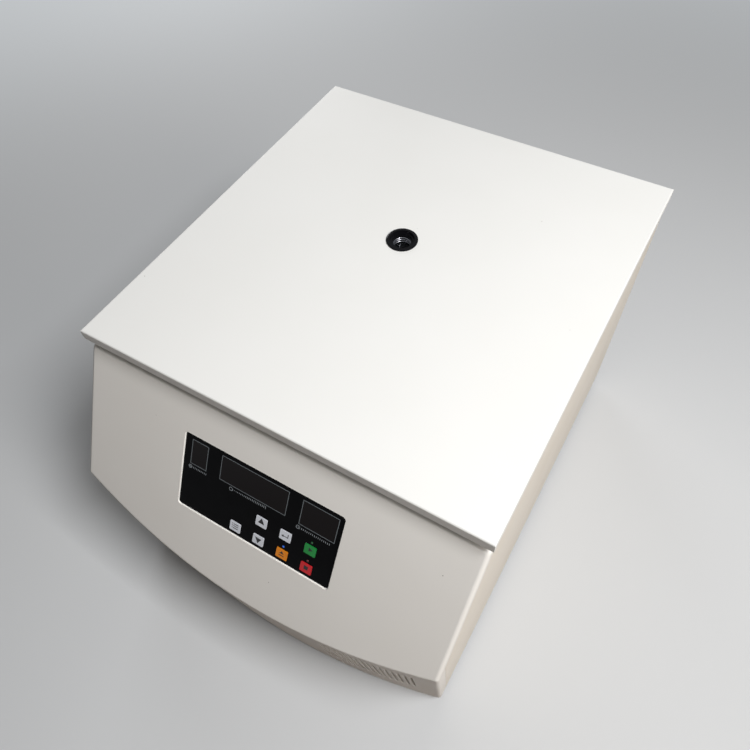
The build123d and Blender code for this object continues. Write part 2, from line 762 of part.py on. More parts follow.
def rotor_head():
    """Cross-shaped yoke: a disc with four open slots, hub below, trunnion pins in the slots."""
    head = rod(AXIS_X, AXIS_Y, HEAD_Z, HEAD_Z + HEAD_T, HEAD_R)
    rims = [e for e in head.edges() if e.geom_type == GeomType.CIRCLE]
    head = chamfer(rims, 4)
    head += turned(
        ((0, HUB_Z), (HUB_R, HUB_Z), (HUB_R, HEAD_Z - 8), (HUB_R + 14, HEAD_Z), (0, HEAD_Z)),
    )
    slot_start = PIN_ORBIT - sqrt(BUCKET_ABOVE ** 2 + (BUCKET_R + 1.5) ** 2) - 4
    pins = []
    for i in range(BUCKETS):
        turn = Pos(AXIS_X, AXIS_Y, 0) * Rot(0, 0, i * 360 / BUCKETS)
        slot = block(slot_start, HEAD_R + 10, -SLOT_HALF, SLOT_HALF, HEAD_Z - 20, HEAD_Z + HEAD_T + 10)
        inner = [e for e in slot.edges().filter_by(Axis.Z) if e.center().X < slot_start + 1]
        head -= turn * fillet(inner, 10)
        for side in (-1, 1):
            y0, y1 = sorted((side * (SLOT_HALF + 2), side * (BUCKET_R + 0.6)))
            pins.append(turn * bar_y(PIN_ORBIT, y0, y1, PIN_Z, PIN_R))
        arm = Pos(AXIS_X, AXIS_Y, 0) * Rot(0, 0, 45 + i * 90)
        head -= arm * Pos(88, 0, HEAD_Z + HEAD_T) * Cylinder(13, 16)
    for pin in pins:
        head += pin
    return head - spindle()


def rotor_nut():
    """Domed grooved nut that clamps the yoke on its cone."""
    low = HEAD_Z + HEAD_T
    top = low + THREAD_L + 4
    grip_r = 0.87 * CAP_NUT_R
    nut = turned(
        ((0, low), (CAP_NUT_R, low), (CAP_NUT_R, low + 4), (grip_r, low + 5), (grip_r, top), (0, top)),
        ((grip_r, top, 4),),
    )
    grips = []
    for i in range(CAP_NUT_GRIPS):
        turn = Pos(AXIS_X, AXIS_Y, top) * Rot(0, 0, i * 360 / CAP_NUT_GRIPS)
        grips.append(turn * Pos(0.95 * CAP_NUT_R, 0, 0) * Cylinder(2.2, 2 * (THREAD_L - 2)))
    return nut - Compound(children=grips) - spindle()


def bucket_form():
    """One bucket on the +X side of the rotor, hanging from its pins."""
    low = PIN_Z - BUCKET_BELOW
    top = PIN_Z + BUCKET_ABOVE
    outer = Pos(0, 0, (low + top) / 2) * Cylinder(BUCKET_R, top - low)
    bottom = [e for e in outer.edges() if e.geom_type == GeomType.CIRCLE and e.center().Z < low + 1]
    outer = fillet(bottom, BUCKET_CORNER_R)
    outer += Pos(0, 0, top - 2) * Cylinder(BUCKET_R + 1.5, 4)
    reach = BUCKET_R + HEAD_GAP - 0.3
    lugs = block(-9, 9, -reach, reach, PIN_Z - 4, PIN_Z + 13)
    tops = [e for e in lugs.edges().filter_by(Axis.Y) if e.center().Z > PIN_Z + 12]
    outer += fillet(tops, 6)
    outer -= bucket_cavity(0)
    for side in (-1, 1):
        y0, y1 = sorted((side * (BUCKET_R + 0.3), side * (reach + 1)))
        outer -= bar_y(0, y0, y1, PIN_Z, PIN_R + PIN_FIT)
        saddle = PIN_R + PIN_FIT
        outer -= block(-saddle, saddle, y0, y1, PIN_Z - 20, PIN_Z)
    return outer


def bucket_cavity(gap):
    """The bucket's inside, drawn in from its wall by gap."""
    low = PIN_Z - BUCKET_BELOW + BUCKET_T
    top = PIN_Z + BUCKET_ABOVE + 5
    cavity = Pos(0, 0, (low + top) / 2) * Cylinder(BUCKET_R - BUCKET_T - gap, top - low)
    bottom = [e for e in cavity.edges() if e.geom_type == GeomType.CIRCLE and e.center().Z < PIN_Z]
    return fillet(bottom, BUCKET_CORNER_R - BUCKET_T)


def cushion_form():
    """Rubber pad that fills the bucket's rounded floor, with a shallow dish on top."""
    low = PIN_Z - BUCKET_BELOW + BUCKET_T
    pad = bucket_cavity(0.2) & block(-BUCKET_R, BUCKET_R, -BUCKET_R, BUCKET_R, low, low + CUSHION_T)
    return pad - Pos(0, 0, low + CUSHION_T) * Cylinder(BUCKET_R / 2, 3)


def at_bucket(index, form):
    turn = Pos(AXIS_X, AXIS_Y, 0) * Rot(0, 0, index * 360 / BUCKETS)
    return turn * Pos(PIN_ORBIT, 0, 0) * form


def lid_cover():
    """Folded steel lid skin with the hole for the sight port."""
    low = LID_TOP - LID_FLANGE
    skin = Pos(0, LID_Y, low) * extrude(Rectangle(LID_W, LID_D), LID_FLANGE)
    skin = fillet(skin.edges().group_by(Axis.Z)[-1], LID_FOLD_R)
    skin -= block(
        -LID_W / 2 + LID_SHEET, LID_W / 2 - LID_SHEET,
        LID_Y - LID_D / 2 + LID_SHEET, LID_Y + LID_D / 2 - LID_SHEET,
        low - 1, LID_TOP - LID_SHEET,
    )
    skin -= lid_screw_holes()
    return skin - rod(AXIS_X, AXIS_Y, low, LID_TOP + 1, PORT_NECK_R + PORT_HOLE_GAP)


def lid_liner():
    """Inner lid plate, a shallow tray whose edge stands against the cover."""
    edge = LID_SHEET + LINER_INSET
    half_x = LID_W / 2 - edge
    half_y = LID_D / 2 - edge
    top = LID_TOP - LID_SHEET
    tray = Pos(0, LID_Y, LINER_Z) * extrude(RectangleRounded(2 * half_x, 2 * half_y, 8), top - LINER_Z)
    tray = fillet(tray.edges().group_by(Axis.Z)[0], 2.5)
    inner = RectangleRounded(2 * half_x - 2 * LINER_T, 2 * half_y - 2 * LINER_T, 8 - LINER_T)
    tray -= Pos(0, LID_Y, LINER_Z + LINER_T) * extrude(inner, top)
    return tray - rod(AXIS_X, AXIS_Y, LINER_Z - 1, top, PORT_NECK_R + PORT_HOLE_GAP)


def lid_core():
    """Sound-deadening board glued between the lid's two sheets."""
    edge = LID_SHEET + LINER_INSET + LINER_T + 1
    low = LINER_Z + LINER_T
    top = LID_TOP - LID_SHEET
    outline = RectangleRounded(LID_W - 2 * edge, LID_D - 2 * edge, 6)
    board = Pos(0, LID_Y, low) * extrude(outline, top - low)
    return board - rod(AXIS_X, AXIS_Y, low - 1, top + 1, PORT_R)


def sight_bushing():
    """Stepped black bushing clamped through both lid sheets, ringed inside."""
    top = LID_TOP + PORT_PROUD
    low = LINER_Z - PORT_BELOW
    step = 0.22 * PORT_BORE_R
    ledge = top - 0.3 * PORT_BORE_R
    bore_top = top - 0.5 * PORT_BORE_R
    outline = [
        (PORT_BORE_R, low),
        (PORT_NECK_R, low),
        (PORT_NECK_R, LID_TOP),
        (PORT_R, LID_TOP),
        (PORT_R, top - 0.4 * PORT_PROUD),
        (PORT_R - 0.8 * PORT_PROUD, top),
        (PORT_BORE_R + 2 * step, top),
        (PORT_BORE_R + 1.6 * step, ledge),
        (PORT_BORE_R + 0.9 * step, ledge),
        (PORT_BORE_R + 0.6 * step, bore_top),
        (PORT_BORE_R, bore_top),
    ]
    third = PORT_RING_PITCH / 3
    for i in range(PORT_RINGS):
        z = bore_top - (i + 0.7) * PORT_RING_PITCH
        outline += [(PORT_BORE_R, z), (PORT_BORE_R + third, z - third), (PORT_BORE_R, z - 2 * third)]
    return turned(outline) - sight_seat(PIN_FIT)


def sight_seat(gap):
    """The clear disc's place in the bushing's bore, larger all round by gap."""
    seat = LINER_Z - PORT_GLASS_T / 2
    radius = PORT_BORE_R + 1
    return rod(AXIS_X, AXIS_Y, seat - gap, seat + PORT_GLASS_T + gap, radius + gap)


def sight_glass():
    """Clear disc held in a groove low in the bushing."""
    return sight_seat(0)


def bushing_nut():
    """Flat nut on the bushing below the liner."""
    low = LINER_Z - NUT_T
    nut = Pos(AXIS_X, AXIS_Y, low) * extrude(RegularPolygon(NUT_R, 6), NUT_T)
    return nut - rod(AXIS_X, AXIS_Y, low - 1, LINER_Z + 1, PORT_NECK_R + PIN_FIT)


def lid_striker():
    """Steel tongue under the lid's front with the window that the bolt enters."""
    low = LINER_Z - STRIKER_DOWN
    half = STRIKER_T / 2
    tongue = block(-half, half, LOCK_Y - STRIKER_W / 2, LOCK_Y + STRIKER_W / 2, low, LINER_Z)
    lower = [e for e in tongue.edges().filter_by(Axis.X) if e.center().Z < low + 1]
    tongue = fillet(lower, 5)
    tongue += block(-14, 14, LOCK_Y - STRIKER_W / 2, LOCK_Y + STRIKER_W / 2, LINER_Z - 2, LINER_Z)
    window = BOLT_R + 1.5
    tongue -= block(-9, 9, LOCK_Y - window, LOCK_Y + window, BOLT_Z - window, BOLT_Z + window)
    return tongue


def lock_bracket():
    """Folded bracket under the deck: two guide cheeks for the bolt and a coil shelf."""
    top = DECK_Z - SHEET
    low = BOLT_Z - SOLENOID_R - 2
    y0 = LOCK_Y - 14
    y1 = LOCK_Y + 14
    tip = -STRIKER_T / 2 - BOLT_TIP_GAP
    bracket = block(tip - SOLENOID_L - 14, 22, y1 - 2, y1, low, top)
    for x in (tip - 5, 14):
        bracket += block(x, x + 3, y0, y1, BOLT_Z - 12, top)
    bracket += block(tip - SOLENOID_L - 14, tip - 10, y0 + 1, y1, low, low + 2)
    return bracket - bar_x(-80, 40, LOCK_Y, BOLT_Z, BOLT_R + 0.1)


def lock_solenoid():
    """Coil that drives the bolt, with its bore."""
    tip = -STRIKER_T / 2 - BOLT_TIP_GAP
    x1 = tip - 12
    coil = bar_x(x1 - SOLENOID_L, x1, LOCK_Y, BOLT_Z, SOLENOID_R - 1)
    coil += block(x1 - SOLENOID_L, x1 - SOLENOID_L + 3, LOCK_Y - 11, LOCK_Y + 12, BOLT_Z - 13, BOLT_Z + 12)
    coil += block(x1 - 3, x1, LOCK_Y - 11, LOCK_Y + 12, BOLT_Z - 13, BOLT_Z + 12)
    return coil - bar_x(x1 - SOLENOID_L + 5, x1 + 1, LOCK_Y, BOLT_Z, BOLT_R + 0.1)


def lock_bolt():
    """Round bolt, drawn back while the lid is free to open."""
    tip = -STRIKER_T / 2 - BOLT_TIP_GAP
    bolt = bar_x(tip - 36, tip, LOCK_Y, BOLT_Z, BOLT_R)
    ends = [e for e in bolt.edges() if e.geom_type == GeomType.CIRCLE and e.center().X > tip - 1]
    return chamfer(ends, 1)


def hinge_centres():
    return (-HINGE_X, HINGE_X)


def hinge_leaves_fixed():
    """Rear hinge leaves on the housing, each with two outer knuckles."""
    solids = []
    y1 = REAR_Y + HINGE_LEAF_T
    for x in hinge_centres():
        leaf = block(x - LEAF_W / 2, x + LEAF_W / 2, REAR_Y, y1, HINGE_Z - LEAF_H, HINGE_Z - KNUCKLE_R - 0.3)
        leaf -= screw_holes()
        for side in (-1, 1):
            x0, x1 = sorted((x + side * (KNUCKLE_L / 2 + 0.2), x + side * LEAF_W / 2))
            leaf += bar_x(x0, x1, HINGE_Y, HINGE_Z, KNUCKLE_R)
            leaf += block(x0, x1, REAR_Y, y1, HINGE_Z - KNUCKLE_R - 1, HINGE_Z)
        solids.append(leaf - bar_x(x - LEAF_W, x + LEAF_W, HINGE_Y, HINGE_Z, HINGE_PIN_R))
    return Compound(children=solids)


def hinge_leaves_lid():
    """Lid hinge leaves, each with its middle knuckle round the pin."""
    solids = []
    for x in hinge_centres():
        y0 = LID_REAR
        x0 = x - KNUCKLE_L / 2
        x1 = x + KNUCKLE_L / 2
        leaf = bar_x(x0, x1, HINGE_Y, HINGE_Z, KNUCKLE_R)
        leaf += block(x0, x1, y0, HINGE_Y, HINGE_Z + KNUCKLE_R - HINGE_LEAF_T, HINGE_Z + KNUCKLE_R)
        leaf += block(x - LEAF_W / 2, x + LEAF_W / 2, y0, y0 + HINGE_LEAF_T, HINGE_Z + 3, LID_TOP - 2)
        leaf -= lid_screw_holes()
        solids.append(leaf - bar_x(x0 - 1, x1 + 1, HINGE_Y, HINGE_Z, HINGE_PIN_R + PIN_FIT))
    return Compound(children=solids)


def hinge_pins():
    solids = []
    for x in hinge_centres():
        pin = bar_x(x - LEAF_W / 2 - 1.5, x + LEAF_W / 2 + 1.5, HINGE_Y, HINGE_Z, HINGE_PIN_R)
        solids.append(chamfer([e for e in pin.edges() if e.geom_type == GeomType.CIRCLE], 0.5))
    return Compound(children=solids)


def panel_box(u, v, width, height, w0, w1):
    """A box set out on the slope: u across, v up the slope, w outwards."""
    return PANEL * Pos(u, v, (w0 + w1) / 2) * Box(width, height, w1 - w0)


def panel_slab(u, v, width, height, radius, w0, w1):
    """A box with rounded corners, set out on the slope."""
    return PANEL * Pos(u, v, w0) * extrude(RectangleRounded(width, height, radius), w1 - w0)


def key_place(column, row):
    return KEY_COL_1 + column * KEY_PITCH, KEY_ROW_1 if row == 0 else KEY_ROW_2


def panel_overlay():
    """Black front sheet with openings for windows, keys and lights."""
    edge = 2 * KEY_GAP
    sheet = panel_slab(0, 0, PANEL_W - edge, PANEL_H - edge, PANEL_CORNER_R - KEY_GAP, 0, PANEL_T)
    for share, width in WINDOWS:
        sheet -= panel_box(share * PANEL_W, WINDOW_UP, width * PANEL_W, WINDOW_H, -1, PANEL_T + 1)
    for column, row in KEYS.values():
        u, v = key_place(column, row)
        gap = 2 * KEY_GAP
        sheet -= panel_slab(u, v, KEY_W + gap, KEY_H + gap, KEY_CORNER_R + KEY_GAP, -1, PANEL_T + 1)
    for name in LIT_KEYS:
        u, v = key_place(*KEYS[name])
        sheet -= PANEL * Pos(u, v + LED_UP, 0) * Cylinder(LED_R, 6)
    return sheet


def display_windows():
    """Three smoked lenses set flush in the overlay."""
    lenses = []
    for share, width in WINDOWS:
        lenses.append(panel_box(share * PANEL_W, WINDOW_UP, width * PANEL_W, WINDOW_H, 0, PANEL_T - LENS_SUNK))
    return Compound(children=lenses)


def key_cap(column, row):
    """One key with a stem through the slope sheet to its switch."""
    u, v = key_place(column, row)
    under = KEY_TRAVEL + 0.1
    cap = panel_slab(u, v, KEY_W, KEY_H, KEY_CORNER_R, under, PANEL_T + KEY_PROUD)
    low = SWITCH_H + KEY_TRAVEL + 0.2 - SHEET - BOARD_GAP
    stem = panel_box(u, v, KEY_W - 2 * KEY_STEM_INSET, KEY_H - 2 * KEY_STEM_INSET, low, under)
    return cap + stem


def indicator_lights():
    """Round lamp tips above the open, start and stop keys, on the key board."""
    tips = []
    for name in LIT_KEYS:
        u, v = key_place(*KEYS[name])
        height = SHEET + BOARD_GAP + PANEL_T
        tip = PANEL * Pos(u, v + LED_UP, -SHEET - BOARD_GAP + height / 2) * Cylinder(LED_R - 0.05, height)
        tips.append(tip)
    return Compound(children=tips)


def key_board():
    """Circuit board behind the slope with a switch under each key."""
    w1 = -SHEET - BOARD_GAP
    board = panel_box(0, 0, PANEL_W - 2 * BOARD_INSET, PANEL_H - 2 * BOARD_INSET, w1 - BOARD_T, w1)
    for column, row in KEYS.values():
        u, v = key_place(column, row)
        board += panel_box(u, v, SWITCH_SIDE, SWITCH_SIDE, w1, w1 + SWITCH_H)
    side = PANEL_W / 2 - BOARD_INSET - 2 * STANDOFF_R
    low = BOARD_INSET + 2 * STANDOFF_R - PANEL_H / 2
    between = [(WINDOWS[i][0] + WINDOWS[i + 1][0]) / 2 for i in (0, 1)]
    between = [u + (WINDOWS[i][1] - WINDOWS[i + 1][1]) / 4 for i, u in enumerate(between)]
    for u, v in ((between[0] * PANEL_W, WINDOW_UP), (between[1] * PANEL_W, WINDOW_UP), (-side, low), (side, low)):
        board += PANEL * Pos(u, v, w1 + BOARD_GAP / 2) * Cylinder(STANDOFF_R, BOARD_GAP)
    return board


def display_modules():
    """Digit blocks behind the three windows."""
    blocks = []
    for share, width in WINDOWS:
        module_w = width * PANEL_W - 2 * MODULE_INSET
        module_h = WINDOW_H - 2 * MODULE_INSET
        blocks.append(panel_box(share * PANEL_W, WINDOW_UP, module_w, module_h, -SHEET - BOARD_GAP, -SEAM))
    return Compound(children=blocks)


def drive_unit():
    """Motor drive box with cooling fins, on the pan at the rear left."""
    x0 = DRIVE_EDGE - HALF
    x1 = x0 + DRIVE_W
    y1 = REAR_Y - FAN_T - WIRING_GAP
    low = PAN_Z + PAN_T
    box = block(x0, x1, y1 - DRIVE_D, y1, low, low + DRIVE_H)
    pitch = (DRIVE_D - 3 * DRIVE_FIN_T) / (DRIVE_FINS - 1)
    for i in range(DRIVE_FINS):
        y = y1 - DRIVE_D + DRIVE_FIN_T + i * pitch
        box += block(x1, x1 + DRIVE_FIN_L, y, y + DRIVE_FIN_T, low + DRIVE_FIN_T, low + DRIVE_H - DRIVE_FIN_T)
    return box


def line_filter():
    """Mains filter can with its mounting ears, beside the inlet."""
    low = PAN_Z + PAN_T
    x0 = INLET_X + FILTER_ASIDE
    x1 = x0 + FILTER_W
    y1 = REAR_Y - FILTER_SETBACK
    y0 = y1 - FILTER_D
    can = block(x0, x1, y0, y1, low, low + FILTER_H)
    can = fillet([e for e in can.edges().filter_by(Axis.Y) if e.center().Z > low + PAN_T], 2)
    return can + block(x0, x1, y0 - FILTER_EAR, y1 + FILTER_EAR, low, low + PAN_T)


def fan_frame():
    """Square fan frame with round duct, corner posts and motor struts."""
    y1 = REAR_Y - SHEET
    y0 = y1 - FAN_T
    half = FAN_SIZE / 2
    frame = block(FAN_X - half, FAN_X + half, y0, y1, FAN_Z - half, FAN_Z + half)
    frame = fillet(frame.edges().filter_by(Axis.Y), 5)
    frame -= bar_y(FAN_X, y0 - 1, y1 + 1, FAN_Z, FAN_BORE_R)
    for angle in (30, 150, 270):
        strut = Pos(FAN_X, y0 + 1.5, FAN_Z) * Rot(0, angle, 0) * Pos(FAN_BORE_R / 2, 0, 0)
        frame += strut * Box(FAN_BORE_R + 2, 3, 4)
    frame += bar_y(FAN_X, y0, y0 + 3, FAN_Z, FAN_HUB_R)
    frame += bar_y(FAN_X, y0 + 3, y0 + 5, FAN_Z, 5)
    return frame - bar_y(FAN_X, y0 + 1, y0 + 8, FAN_Z, 2 + PIN_FIT)


def fan_wheel():
    """Seven pitched blades on a hub with its short shaft."""
    y1 = REAR_Y - SHEET - FAN_SETBACK
    y0 = REAR_Y - SHEET - FAN_T + 6
    wheel = bar_y(FAN_X, y0, y1, FAN_Z, FAN_HUB_R)
    wheel += bar_y(FAN_X, y0 - 4.5, y0, FAN_Z, 2)
    middle = (y0 + y1) / 2
    reach = FAN_BORE_R - 1.5
    for i in range(FAN_BLADES):
        blade = Pos((FAN_HUB_R + reach) / 2 - 1, 0, 0) * Rot(38, 0, 0) * Box(reach - FAN_HUB_R + 2, 17, 1.4)
        turned_blade = Pos(FAN_X, middle, FAN_Z) * Rot(0, i * 360 / FAN_BLADES, 0) * blade
        wheel += turned_blade
    return wheel & bar_y(FAN_X, y0 - 5, y1, FAN_Z, reach)


def fan_guard():
    """Stamped finger guard: flat rings on a cross, stood off on four screw posts."""
    y0 = REAR_Y + GUARD_OFF
    y1 = y0 + GUARD_T_FAN
    eye = FAN_SIZE / 2 - GUARD_EYE
    guard = bar_y(FAN_X, y0, y1, FAN_Z, GUARD_RING_PITCH)
    for turn in (-45, 45):
        arm = Pos(FAN_X, (y0 + y1) / 2, FAN_Z) * Rot(0, turn, 0)
        guard += arm * Box(2 * sqrt(2) * eye, GUARD_T_FAN, GUARD_RING_W)
    for i in range(2, GUARD_RINGS + 1):
        radius = i * GUARD_RING_PITCH
        guard += bar_y(FAN_X, y0, y1, FAN_Z, radius) - bar_y(FAN_X, y0, y1, FAN_Z, radius - GUARD_RING_W)
    for sx in (-1, 1):
        for sz in (-1, 1):
            guard += bar_y(FAN_X + sx * eye, REAR_Y, y1, FAN_Z + sz * eye, GUARD_EYE_R)
    return guard


def inlet_socket():
    """Three-pin power inlet with its snap-in flange and recess."""
    low = INLET_Z - INLET_H / 2
    body = block(
        INLET_X - INLET_W / 2, INLET_X + INLET_W / 2,
        REAR_Y - 26, REAR_Y,
        low, low + INLET_H,
    )
    flange = Pos(INLET_X, REAR_Y, INLET_Z) * Rot(90, 0, 0)
    body += flange * extrude(RectangleRounded(INLET_W + 8, INLET_H + 8, 3), -2.5)
    body -= block(INLET_X - 12, INLET_X + 12, REAR_Y - 18, REAR_Y + 5, INLET_Z - 8, INLET_Z + 8)
    for x, z in ((-7, -2), (7, -2), (0, 2)):
        body += block(INLET_X + x - 1, INLET_X + x + 1, REAR_Y - 18, REAR_Y - 5, INLET_Z + z - 2, INLET_Z + z + 2)
    return body


def rocker_frame():
    """Rim and well of the power switch above the inlet."""
    half_x = ROCKER_W / 2 + 1.5
    half_z = ROCKER_H / 2 + 1.5
    body = block(INLET_X - half_x, INLET_X + half_x, REAR_Y - 18, REAR_Y, ROCKER_Z - half_z, ROCKER_Z + half_z)
    flange = Pos(INLET_X, REAR_Y, ROCKER_Z) * Rot(90, 0, 0)
    body += flange * extrude(RectangleRounded(2 * half_x + 4, 2 * half_z + 4, 2), -2)
    well_x = ROCKER_W / 2 + 0.3
    well_z = ROCKER_H / 2 + 0.3
    body -= block(INLET_X - well_x, INLET_X + well_x, REAR_Y - 14, REAR_Y + 3, ROCKER_Z - well_z, ROCKER_Z + well_z)
    return body + bar_x(INLET_X - well_x, INLET_X + well_x, REAR_Y - ROCKER_DEEP, ROCKER_Z, ROCKER_PIN_R)


def rocker():
    """The switch's rocker: a shallow V in front, its ends round the pivot, tipped to one side."""
    end = ROCKER_H / 2
    side = Polyline((-3.5, -7), (-3.5, 7), (7.2, end + 1), (4.2, 0), (7.2, -end - 1), close=True)
    face = make_face(side) & Circle(end)
    cap = extrude(Plane.YZ * face, ROCKER_W / 2, both=True)
    cap -= bar_x(-ROCKER_W, ROCKER_W, 0, 0, ROCKER_PIN_R + PIN_FIT)
    return Pos(INLET_X, REAR_Y - ROCKER_DEEP, ROCKER_Z) * Rot(-ROCKER_TILT, 0, 0) * cap


def nodes():
    """Every node's name and its solids."""
    shell = housing_shell()
    parts = {
        "body_wrap": body_wrap(shell),
        "front_panel": front_panel(shell),
        "rear_panel": rear_panel(),
        "base_pan": base_pan(),
        "feet": feet(),
        "chamber_bowl": chamber_bowl(),
        "chamber_gasket": chamber_gasket(),
        "guard_ring": guard_ring(),
        "boot_seal": boot_seal(),
        "motor_plate": motor_plate(),
        "isolators": isolators(),
        "posts": posts(),
        "motor_housing": motor_housing(),
        "motor_end_cap": motor_end_cap(),
        "spindle": spindle(),
        "rotor_head": rotor_head(),
        "rotor_nut": rotor_nut(),
        "lid_cover": lid_cover(),
        "lid_liner": lid_liner(),
        "lid_core": lid_core(),
        "sight_bushing": sight_bushing(),
        "sight_glass": sight_glass(),
        "bushing_nut": bushing_nut(),
        "lid_striker": lid_striker(),
        "hinge_leaves_lid": hinge_leaves_lid(),
        "hinge_leaves_fixed": hinge_leaves_fixed(),
        "hinge_pins": hinge_pins(),
        "lock_bracket": lock_bracket(),
        "lock_solenoid": lock_solenoid(),
        "lock_bolt": lock_bolt(),
        "panel_overlay": panel_overlay(),
        "display_windows": display_windows(),
        "display_modules": display_modules(),
        "key_board": key_board(),
        "indicator_lights": indicator_lights(),
        "drive_unit": drive_unit(),
        "line_filter": line_filter(),
        "fan_frame": fan_frame(),
        "fan_wheel": fan_wheel(),
        "fan_guard": fan_guard(),
        "inlet_socket": inlet_socket(),
        "rocker_frame": rocker_frame(),
        "rocker": rocker(),
        "case_screws": case_screws(),
        "lid_screws": lid_screws(),
    }
    for name, (column, row) in KEYS.items():
        parts[name] = key_cap(column, row)
    for i in range(BUCKETS):
        parts[f"bucket_{i + 1}"] = at_bucket(i, bucket_form())
        parts[f"cushion_{i + 1}"] = at_bucket(i, cushion_form())
    return parts


os.makedirs("parts", exist_ok=True)
for node_name, shape in nodes().items():
    export_step(shape, os.path.join("parts", node_name + ".step"))
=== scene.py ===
# %% [markdown]
# # A laboratory centrifuge, dressed for its portrait
# The machine's solids come from a CAD program at their real size. This lesson keeps every one of
# them where it is, gives each a finish that behaves like the real material, and adds the thin
# small things that the solids leave out: printing, display digits, a bead, wire rings, lamp
# domes, contact sleeves and pressed hoods.
# Lengths are metres, +X is the operator's right, -Y the front and +Z up.

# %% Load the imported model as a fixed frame
import math

import bmesh
import bpy
from mathutils import Matrix, Vector


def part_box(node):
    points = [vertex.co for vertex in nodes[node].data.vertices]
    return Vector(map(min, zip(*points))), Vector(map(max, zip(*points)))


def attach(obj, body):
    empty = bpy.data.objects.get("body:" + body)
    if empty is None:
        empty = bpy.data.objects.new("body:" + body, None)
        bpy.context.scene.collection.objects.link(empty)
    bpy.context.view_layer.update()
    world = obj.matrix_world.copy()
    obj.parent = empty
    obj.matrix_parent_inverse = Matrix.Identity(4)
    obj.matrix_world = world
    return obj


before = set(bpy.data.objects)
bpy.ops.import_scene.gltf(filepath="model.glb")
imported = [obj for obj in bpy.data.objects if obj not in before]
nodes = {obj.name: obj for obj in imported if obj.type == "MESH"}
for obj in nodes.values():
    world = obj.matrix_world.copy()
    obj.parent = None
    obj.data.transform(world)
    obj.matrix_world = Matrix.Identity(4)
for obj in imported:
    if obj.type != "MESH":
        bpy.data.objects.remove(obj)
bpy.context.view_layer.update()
MM = 0.001

# %% [markdown]
# ## The camera
# The photograph was taken from above the front right corner, with the camera rolled a little.
# One camera was fitted to the lid's corners, the bowed front edge and the foot of the machine.
# It could also be aimed with a Track To constraint, but the fitted roll would be lost, so the
# fitted place and angles are written here as they are. Depth of field stays off.

# %% Camera
CAMERA_PLACE = (0.2450, -0.3714, 0.8539)
CAMERA_ANGLES = (34.831, 2.337, 30.454)     # degrees about X, Y and Z
CAMERA_LENS = 32.01                         # millimetres
SENSOR_WIDTH = 36.0                         # millimetres
NEAREST = 0.02                              # metres; nothing closer is drawn

camera_data = bpy.data.cameras.new("camera")
camera_data.lens = CAMERA_LENS
camera_data.sensor_width = SENSOR_WIDTH
camera_data.clip_start = NEAREST
camera = bpy.data.objects.new("camera", camera_data)
camera.location = CAMERA_PLACE
camera.rotation_euler = [math.radians(angle) for angle in CAMERA_ANGLES]
bpy.context.scene.collection.objects.link(camera)
bpy.context.scene.camera = camera
bpy.context.scene.view_settings.view_transform = "Standard"
print("camera", camera.location[:], "lens", camera_data.lens)

# %% [markdown]
# ## Helpers for materials
# Colours are easiest to read off a screen as hex numbers, which are in sRGB. Blender's shaders
# want linear light, so one function turns one into the other. Another adds any node with its
# settings and its links. The others are the few moves that every finish below is made of: noise
# of a given size, a blend of two colours, a gloss that wanders and a bump.

# %% Colour and node helpers
COLOUR_A, COLOUR_B, COLOUR_OUT = 6, 7, 2    # a Mix node's sockets when it mixes colours
NUMBER_A, NUMBER_B, NUMBER_OUT = 2, 3, 0    # and when it mixes numbers


def linear(hex_colour):
    """An sRGB hex colour as linear red, green, blue and alpha."""
    channels = [int(hex_colour[i:i + 2], 16) / 255 for i in (1, 3, 5)]
    return [c / 12.92 if c <= 0.04045 else ((c + 0.055) / 1.055) ** 2.4 for c in channels] + [1.0]


def per_metre(size_mm):
    """A texture scale whose features are about size_mm across."""
    return 1 / (size_mm * MM)


def add(tree, kind, links=(), **settings):
    """A new node; links pairs an input with a value or another node's output."""
    node = tree.nodes.new(kind)
    for name, value in settings.items():
        setattr(node, name, value)
    for name, value in links:
        if isinstance(value, bpy.types.NodeSocket):
            tree.links.new(value, node.inputs[name])
        else:
            node.inputs[name].default_value = value
    return node


def start(name, colour, roughness, metallic=0.0):
    """A material with its shader's plain values set; returns it with its tree, shader and place."""
    material = bpy.data.materials.new(name)
    material.use_nodes = True
    tree = material.node_tree
    shader = tree.nodes["Principled BSDF"]
    shader.inputs["Base Color"].default_value = linear(colour)
    shader.inputs["Roughness"].default_value = roughness
    shader.inputs["Metallic"].default_value = metallic
    place = add(tree, "ShaderNodeTexCoord").outputs["Object"]
    return material, tree, shader, place


def set_input(material, name, value):
    """Changes one plain value of a finished material's shader; returns the material."""
    material.node_tree.nodes["Principled BSDF"].inputs[name].default_value = value
    return material


def noise(tree, vector, size_mm, **inputs):
    """A noise texture with features about size_mm across; returns its output from 0 to 1."""
    links = [("Vector", vector), ("Scale", per_metre(size_mm)), *inputs.items()]
    return add(tree, "ShaderNodeTexNoise", links).outputs["Fac"]


def combine(tree, operation, first, second):
    """One number made of two by a Math node."""
    return add(tree, "ShaderNodeMath", [(0, first), (1, second)], operation=operation).outputs[0]


def blend(tree, factor, first, second):
    """A mix of two colours, each given as hex or as another node's output."""
    first, second = (linear(c) if isinstance(c, str) else c for c in (first, second))
    links = [("Factor", factor), (COLOUR_A, first), (COLOUR_B, second)]
    return add(tree, "ShaderNodeMix", links, data_type="RGBA").outputs[COLOUR_OUT]


def tint(tree, shader, factor, first, second):
    """Colours the shader with a mix of two colours."""
    tree.links.new(blend(tree, factor, first, second), shader.inputs["Base Color"])


def gloss(tree, shader, factor, low, high):
    """Lets the shader's roughness wander between two values."""
    spread = add(tree, "ShaderNodeMapRange", [("Value", factor), ("To Min", low), ("To Max", high)])
    tree.links.new(spread.outputs["Result"], shader.inputs["Roughness"])


